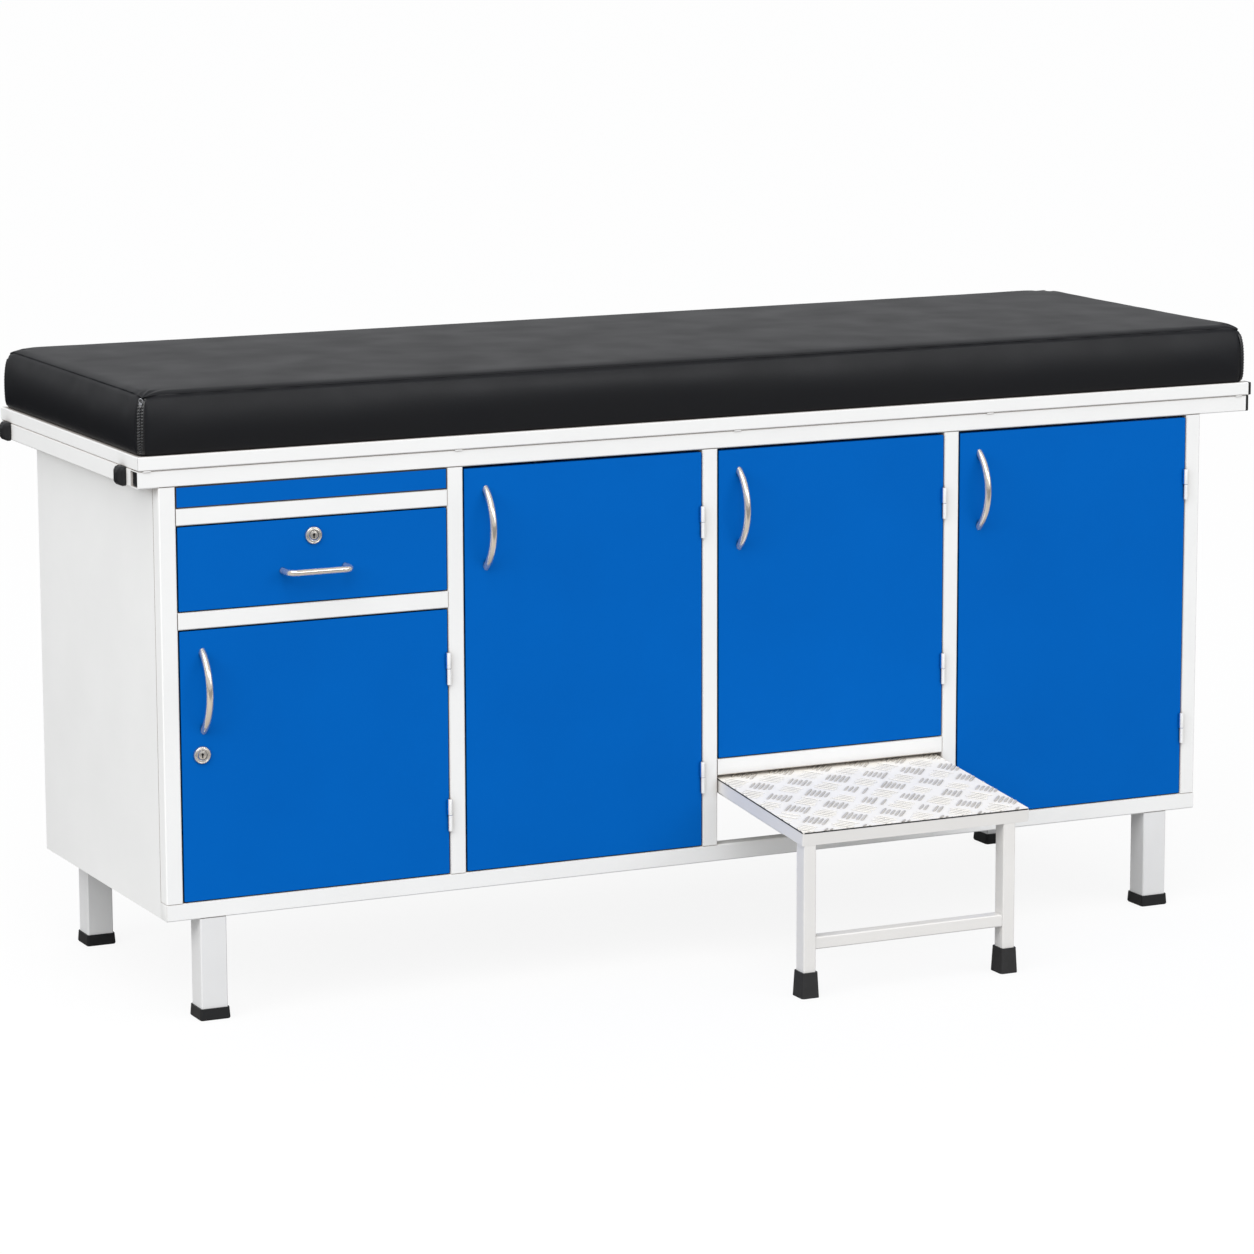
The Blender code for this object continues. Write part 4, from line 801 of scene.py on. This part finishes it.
# one rolled-up bar: a long lens on a short skirt that sinks into the plate
def addBar(bm, middle, along, across, wear):
    half, height = tread["barMm"] / 2000 * wear, tread["heightMm"] / 1000 * wear
    width, sink, spare = tread["widthMm"] / 2000, tread["sinkMm"] / 1000, tread["spareMm"] / 1000
    stations, sides = tread["stations"], tread["sides"]
    rows = []
    for i in range(stations + 1):
        u = math.cos(math.pi * i / stations)
        spread = math.sqrt(max(1 - u ** tread["endPower"], 0.0))
        row = []
        for j in range(sides + 1):
            v = 2 * j / sides - 1
            lift = height * spread * (1 - v * v) ** tread["crownPower"]
            side = across * ((spread * width + spare) * v)
            row.append(bm.verts.new(middle + along * (half * u) + side + treadUp * lift))
        rows.append(row)
    for a, b in zip(rows, rows[1:]):
        for j in range(sides):
            bm.faces.new((a[j], a[j + 1], b[j + 1], b[j]))
    rim = [row[0] for row in rows] + rows[-1][1:]
    rim += [row[-1] for row in reversed(rows[:-1])] + rows[0][-2:0:-1]
    under = [bm.verts.new(v.co - treadUp * ((v.co - middle).dot(treadUp) + sink)) for v in rim]
    for i in range(len(rim)):
        j = (i + 1) % len(rim)
        bm.faces.new((rim[i], under[i], under[j], rim[j]))
    bm.faces.new(under)


def makeTread():
    chance = random.Random(tread["seed"])
    ways = (bmesh.new(), bmesh.new())
    acrossStep, alongStep = tread["pitchAcrossMm"] / 1000, tread["pitchAlongMm"] / 1000
    reach, lean = tread["barMm"] / 2000, math.radians(tread["lean"])
    startX, startY = tread["startShare"]
    # the rows run past the plate, and what hangs over is cut off below
    for row in range(-1, int((plateRear - plateFront) / alongStep * 2) + 3):
        for column in range(-1, int((plateRight - plateLeft) / acrossStep) + 2):
            x = plateLeft + acrossStep * (column + 0.5 * (row % 2) + startX)
            y = plateFront + alongStep * 0.5 * (row + startY)
            along = treadRight * math.cos(lean) + treadBack * (math.sin(lean) * (1 if row % 2 else -1))
            across = treadUp.cross(along)
            for bar in range(tread["bars"]):
                offset = (bar - (tread["bars"] - 1) / 2) * tread["gapMm"] / 1000
                middle = onPlate(x, y, 0) + across * offset
                wear = chance.uniform(*tread["wear"])
                if chance.random() < tread["lost"]:
                    continue
                inWidth = plateLeft - reach < middle.x < plateRight + reach
                inDepth = plateFront - reach < middle.dot(treadBack) < plateRear + reach
                if inWidth and inDepth:
                    addBar(ways[row % 2], middle, along, across, wear)
    trim = tread["trimMm"] / 1000
    edges = ((treadRight * (plateLeft + trim), -treadRight), (treadRight * (plateRight - trim), treadRight),
             (treadBack * (plateFront + trim), -treadBack), (treadBack * (plateRear - trim), treadBack))
    for bm, (name, finish) in zip(ways, tread["ways"]):
        for point, normal in edges:
            bmesh.ops.bisect_plane(bm, geom=bm.verts[:] + bm.edges[:] + bm.faces[:],
                                   plane_co=point, plane_no=normal, clear_outer=True)
            bmesh.ops.holes_fill(bm, edges=[e for e in bm.edges if e.is_boundary])
        bars = addPiece(name, bm, materials[finish], "step")
        print(name, len(bars.data.polygons), "faces")


# painted shade: a near-black strip on the plate's front and side edges, standing in for the shadow in the gap
# round the plate
def makeEdgeShadeStrip():
    thick, turnAt = tread["stripMm"] / 1000, tread["turnMm"] / 1000
    ease, easeDrop = tread["stripEase"], tread["stripEaseMm"] / 1000
    upper, lower = (-d / 1000 for d in tread["stripDrop"])
    section = [(0.0, upper), (thick * ease, upper - easeDrop), (thick, (upper + lower) / 2),
               (thick * ease, lower + easeDrop), (0.0, lower)]
    bm = bmesh.new()
    addLoft(bm, [[onPlate(x, plateFront - out, z) for out, z in section]
                 for x in (plateLeft + turnAt, plateRight - turnAt)])
    for x, sign in ((plateLeft, -1), (plateRight, 1)):
        addLoft(bm, [[onPlate(x + sign * out, y, z) for out, z in section]
                     for y in (plateFront + turnAt, plateRear - turnAt)])
    addPiece("plate_edge_shade_strip", bm, materials["mouldedRubber"], "step", smooth=False)
    print("strip round the plate's edge fitted")


makeTread()
makeEdgeShadeStrip()

# Plugs in the ends of the top frame's tubes, those sunk in the sub rails' open ends being painted shade for
# the dark inside of the tubes, and plates on the ends of the bottom rails
plugs = {
    # profiles are (inset, out) in mm from the tube's section and end
    "capped": ((2.1, -7.0), (2.1, 0.15), (0.1, 0.15), (0.0, 0.5), (0.0, 4.1), (0.3, 4.7), (1.3, 5.1)),
    "cappedRails": ("top_rail_front", "top_rail_rear", "sub_rail_front", "sub_rail_rear"),
    # painted shade: dark plugs set back in the sub rails' open ends, for the shade inside the tubes
    "sunk": ((2.2, -14.0), (2.2, -3.2), (3.0, -3.0), (4.2, -3.4), (5.0, -5.5)),
    "sunkRails": ("sub_rail_front", "sub_rail_rear"),
    "plate": ((2.2, -5.0), (2.2, 0.1), (0.4, 0.1), (0.4, 0.45), (0.8, 0.6)),
    "plateRails": ("bottom_rail_front", "bottom_rail_rear"),
    "cornerMm": 1.5, "cornerSteps": 4,
}


def addPlugs(bm, rails, profile, sign):
    for rail in rails:
        low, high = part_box(rail)
        end = high.x if sign > 0 else low.x
        middle = (low + high) / 2
        rings = []
        for inset, out in profile:
            halfY, halfZ = (high.y - low.y) / 2 - inset / 1000, (high.z - low.z) / 2 - inset / 1000
            outline = roundedOutline(halfY, halfZ, plugs["cornerMm"] / 1000, plugs["cornerSteps"])
            rings.append([Vector((end + sign * out / 1000, middle.y + a, middle.z + b)) for a, b in outline])
        addLoft(bm, rings)


def makePlugs():
    bm = bmesh.new()
    addPlugs(bm, plugs["cappedRails"], plugs["capped"], 1)
    addPlugs(bm, plugs["sunkRails"], plugs["sunk"], -1)
    addPiece("rail_plugs", bm, materials["mouldedPolyethylene"], "cabinet")
    bm = bmesh.new()
    for sign in (-1, 1):
        addPlugs(bm, plugs["plateRails"], plugs["plate"], sign)
    addPiece("rail_end_plates", bm, materials["whitePowderCoat"], "cabinet")
    print("tube ends closed")


makePlugs()

# Filler strip: a dark rubber bead round it, painted shade for the shadow in its joint; its section as (inset,
# out) in mm from the strip's edge and face
bead = {"section": ((-0.2, -1.0), (-0.2, 0.1), (0.4, 0.2), (1.0, 0.1), (1.0, -1.0))}


def makeFillerShadeBead():
    low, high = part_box("filler_strip")
    middle, half = (low + high) / 2, (high - low) / 2
    rings = []
    for signX, signZ in corners:
        ring = []
        for inset, out in bead["section"]:
            x, z = signX * (half.x - inset / 1000), signZ * (half.z - inset / 1000)
            ring.append(Vector((middle.x + x, low.y - out / 1000, middle.z + z)))
        rings.append(ring)
    bm = bmesh.new()
    addLoft(bm, rings, closed=True)
    addPiece("filler_shade_bead", bm, materials["mouldedRubber"], "cabinet", smooth=False)
    print("bead round the filler strip laid")


makeFillerShadeBead()

# Handles: the bowed door bars and the bent drawer bar, in place of the coarser solids
handle = {
    "doorSpanMm": 112.0, "doorRiseMm": 27.0, "doorRadiusMm": 5.0, "doorSteps": 48,
    "drawerSpanMm": 96.0, "drawerRiseMm": 28.0, "drawerRadiusMm": 4.5, "drawerBendMm": 12.0, "bendSteps": 10,
    "sides": 28, "seatMm": 0.3,
}


# a round bar through points (across, out) in mm, where across runs along direction; its ends sit on the door
def addHandle(name, node, points, direction, radius, finish, body):
    low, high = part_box(node)
    middle = (low + high) / 2
    start = Vector((middle.x, frontFace, middle.z))
    seat = frontFace - handle["seatMm"] / 1000
    ahead = Vector((0, -1, 0))
    side = direction.cross(ahead)
    path = [start + (direction * across + ahead * out) / 1000 for across, out in points]
    last = len(path) - 1
    rings = []
    for i, point in enumerate(path):
        along = (path[min(i + 1, last)] - path[max(i - 1, 0)]).normalized()
        ring = circle(point, side, side.cross(along), radius / 1000, handle["sides"])
        if i in (0, last):
            ring = [spot - along * ((spot.y - seat) / along.y) for spot in ring]
        rings.append(ring)
    bm = bmesh.new()
    addLoft(bm, rings)
    piece = addPiece(name, bm, materials[finish], body)
    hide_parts(node)


def makeHandles():
    half, rise, steps = handle["doorSpanMm"] / 2, handle["doorRiseMm"], handle["doorSteps"]
    bow = (half * half + rise * rise) / (2 * rise)
    swing = math.asin(half / bow)
    turns = [swing * (2 * i / steps - 1) for i in range(steps + 1)]
    points = [(bow * math.sin(a), bow * math.cos(a) + rise - bow) for a in turns]
    for number, body in enumerate(doorBodies, 1):
        addHandle("handle_bar_%d" % number, "door_handle_%d" % number, points, Vector((0, 0, 1)),
                  handle["doorRadiusMm"], "satinStainlessUpright", body)
    half, rise = handle["drawerSpanMm"] / 2, handle["drawerRiseMm"]
    bend, steps = handle["drawerBendMm"], handle["bendSteps"]
    turns = [math.pi / 2 * i / steps for i in range(steps + 1)]
    points = [(-half, 0.0), (-half, (rise - bend) / 2)]
    points += [(-half + bend * (1 - math.cos(a)), rise - bend * (1 - math.sin(a))) for a in turns]
    points += [(half - bend * (1 - math.sin(a)), rise - bend * (1 - math.cos(a))) for a in turns]
    points += [(half, (rise - bend) / 2), (half, 0.0)]
    addHandle("drawer_pull", "drawer_handle", points, Vector((1, 0, 0)),
              handle["drawerRadiusMm"], "satinStainlessLevel", "drawer")
    print("handles placed")


makeHandles()

# Hinges: a sleeve, painted with the frame, over the half of each lift-off hinge that hangs on a door
hinge = {
    # (radius, up) in mm from the lower end of the half hinge, and from its upper end
    "foot": ((2.4, 0.3), (2.9, 0.3), (3.0, 0.6)),
    "head": ((3.0, -0.4), (2.85, 0.1), (1.2, 0.25), (1.2, -0.4), (2.4, -0.8)),
    "aheadMm": 4.5, "radiusMm": 2.8, "sides": 24,
}


def makeSleeves():
    reach = frontFace - hinge["aheadMm"] / 1000
    for number, body in enumerate(doorBodies, 1):
        ahead = [v.co for v in nodes["door_%d" % number].data.vertices if v.co.y < reach]
        x = sum(p.x for p in ahead) / len(ahead)
        y = min(p.y for p in ahead) + hinge["radiusMm"] / 1000
        halfway = (min(p.z for p in ahead) + max(p.z for p in ahead)) / 2
        bm = bmesh.new()
        for levels in ([p.z for p in ahead if p.z < halfway], [p.z for p in ahead if p.z > halfway]):
            base, long = min(levels), 1000 * (max(levels) - min(levels))
            profile = [*hinge["foot"], *((radius, long + up) for radius, up in hinge["head"])]
            addTurned(bm, profile, (x, y, base), (0, 0, 1), hinge["sides"], closed=True)
        addPiece("hinge_sleeves_%d" % number, bm, materials["whitePowderCoat"], body)
    print("hinge sleeves placed")


makeSleeves()

# Locks: a turned bezel over the fixed head, a face on the plug, and its keyhole, a near-black shape on the
# face that is painted shade for the hole
lock = {
    # (radius, out) in mm from the door's face
    "bezel": ((12.08, 0.1), (12.4, 0.1), (12.4, 2.3), (12.05, 3.1), (11.2, 3.7), (10.6, 3.6), (10.2, 3.25),
              (9.8, 3.5), (8.0, 3.6), (7.35, 3.4), (7.35, 3.12), (12.08, 3.12)),
    "face": ((6.1, 2.25), (6.1, 2.55), (5.8, 2.75), (5.4, 2.65), (5.0, 2.8), (3.0, 2.95), (0.4, 3.0)),
    "bezelSides": 48, "faceSides": 40, "rimMm": 0.1,
    "holeRadius": 1.9, "holeSteps": 16, "holeOut": (2.7, 3.12), "holeRiseMm": 0.9,
    "slotWidth": 1.9, "slotLong": 5.0,
    "locks": (("door_lock", "lower_door", "door_lock_plug"), ("drawer_lock", "drawer", "drawer_lock_plug")),
}


# a round hole with a slot below it, as (across, up) in mm
def keyholeOutline():
    half, radius = lock["slotWidth"] / 2, lock["holeRadius"]
    rise, steps = lock["holeRiseMm"], lock["holeSteps"]
    start = math.asin(half / radius)
    arc = [-math.pi / 2 + start + (2 * math.pi - 2 * start) * i / steps for i in range(steps + 1)]
    outline = [(radius * math.cos(a), radius * math.sin(a) + rise) for a in arc]
    return outline + [(-half, rise - lock["slotLong"]), (half, rise - lock["slotLong"])]


def makeLocks():
    for name, body, plugBody in lock["locks"]:
        points = [v.co for v in nodes[name].data.vertices]
        front = min(p.y for p in points) + lock["rimMm"] / 1000
        rim = [p for p in points if p.y < front]
        centre = Vector((sum(p.x for p in rim) / len(rim), frontFace, sum(p.z for p in rim) / len(rim)))
        bm = bmesh.new()
        addTurned(bm, lock["bezel"], centre, (0, -1, 0), lock["bezelSides"], closed=True)
        addPiece(name + "_bezel", bm, materials["nickelPlate"], body)
        bm = bmesh.new()
        addTurned(bm, lock["face"], centre, (0, -1, 0), lock["faceSides"])
        addPiece(name + "_face", bm, materials["nickelPlate"], plugBody)
        bm = bmesh.new()
        addLoft(bm, [[centre + Vector((a / 1000, -out / 1000, b / 1000)) for a, b in keyholeOutline()]
                     for out in lock["holeOut"]])
        addPiece(name + "_keyhole", bm, materials["keyholeShadeSteel"], plugBody, smooth=False)
    print("locks faced")


makeLocks()

# Rivets round the back panel, as (radius, out) in mm from its face
rivet = {
    "profile": ((3.2, -0.1), (3.2, 0.35), (2.7, 1.0), (1.7, 1.5), (0.9, 1.6), (0.6, 1.2)),
    "insetMm": 9.0, "pitchMm": 150.0, "sides": 14,
}


def makeRivets():
    bm = bmesh.new()
    low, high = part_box("back_panel")
    inset, pitch = rivet["insetMm"] / 1000, rivet["pitchMm"] / 1000
    spanX, spanZ = high.x - low.x - 2 * inset, high.z - low.z - 2 * inset
    countX, countZ = round(spanX / pitch), round(spanZ / pitch)
    left, right, bottom, top = low.x + inset, high.x - inset, low.z + inset, high.z - inset
    spots = [(left + spanX * i / countX, z) for i in range(countX + 1) for z in (bottom, top)]
    spots += [(x, bottom + spanZ * i / countZ) for i in range(1, countZ) for x in (left, right)]
    for x, z in spots:
        addTurned(bm, rivet["profile"], (x, high.y, z), (0, 1, 0), rivet["sides"])
    addPiece("back_rivets", bm, materials["zincPlatedSteel"], "cabinet")
    print("rivets:", len(spots))


makeRivets()

# Screws that hold the handles, behind the sheet, as (radius, in) in mm from its back
screw = {
    "profile": ((4.2, 0.1), (4.2, 1.0), (3.6, 1.9), (2.6, 2.3), (2.2, 2.3), (1.5, 1.2)),
    "insetMm": 5.5, "doorSheetMm": 1.0, "drawerSheetsMm": 2.3, "sides": 20,
}


def makeScrews():
    inset = screw["insetMm"] / 1000
    doorBack, drawerBack = frontFace + screw["doorSheetMm"] / 1000, frontFace + screw["drawerSheetsMm"] / 1000
    for number, body in enumerate(doorBodies, 1):
        bm = bmesh.new()
        low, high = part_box("door_handle_%d" % number)
        for z in (low.z + inset, high.z - inset):
            addTurned(bm, screw["profile"], ((low.x + high.x) / 2, doorBack, z), (0, 1, 0), screw["sides"])
        addPiece("handle_screws_%d" % number, bm, materials["zincPlatedSteel"], body)
    bm = bmesh.new()
    low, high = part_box("drawer_handle")
    for x in (low.x + inset, high.x - inset):
        addTurned(bm, screw["profile"], (x, drawerBack, (low.z + high.z) / 2), (0, 1, 0), screw["sides"])
    addPiece("drawer_screws", bm, materials["zincPlatedSteel"], "drawer")
    print("handle screws placed")


makeScrews()

# Weld beads: short rippled runs under the top rail, painted over
weld = {
    "seed": 3, "places": (-0.8955, -0.42, 0.03, 0.46, 0.905),
    "radiusMm": 1.3, "longMm": 13.0, "steps": 14, "sides": 8,
    "rippleMm": 2.2, "ripple": 0.12, "spread": (0.94, 1.06), "endPower": 4, "leastSwell": 0.02,
    "aheadMm": 0.5, "belowMm": 0.7,
}


def makeWeldBeads():
    chance = random.Random(weld["seed"])
    bm = bmesh.new()
    y, z = frontFace - weld["aheadMm"] / 1000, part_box("sub_rail_front")[1].z - weld["belowMm"] / 1000
    for x in weld["places"]:
        rings = []
        for i in range(weld["steps"] + 1):
            share = i / weld["steps"]
            swell = math.sqrt(max(1 - (2 * share - 1) ** weld["endPower"], weld["leastSwell"]))
            ripple = 1 + weld["ripple"] * math.sin(2 * math.pi * share * weld["longMm"] / weld["rippleMm"])
            radius = weld["radiusMm"] * swell * ripple * chance.uniform(*weld["spread"]) / 1000
            centre = Vector((x + (share - 0.5) * weld["longMm"] / 1000, y, z))
            rings.append(circle(centre, Vector((0, 1, 0)), Vector((0, 0, 1)), radius, weld["sides"]))
        addLoft(bm, rings)
    addPiece("weld_beads", bm, materials["whitePowderCoat"], "cabinet")
    print("weld beads laid")


makeWeldBeads()
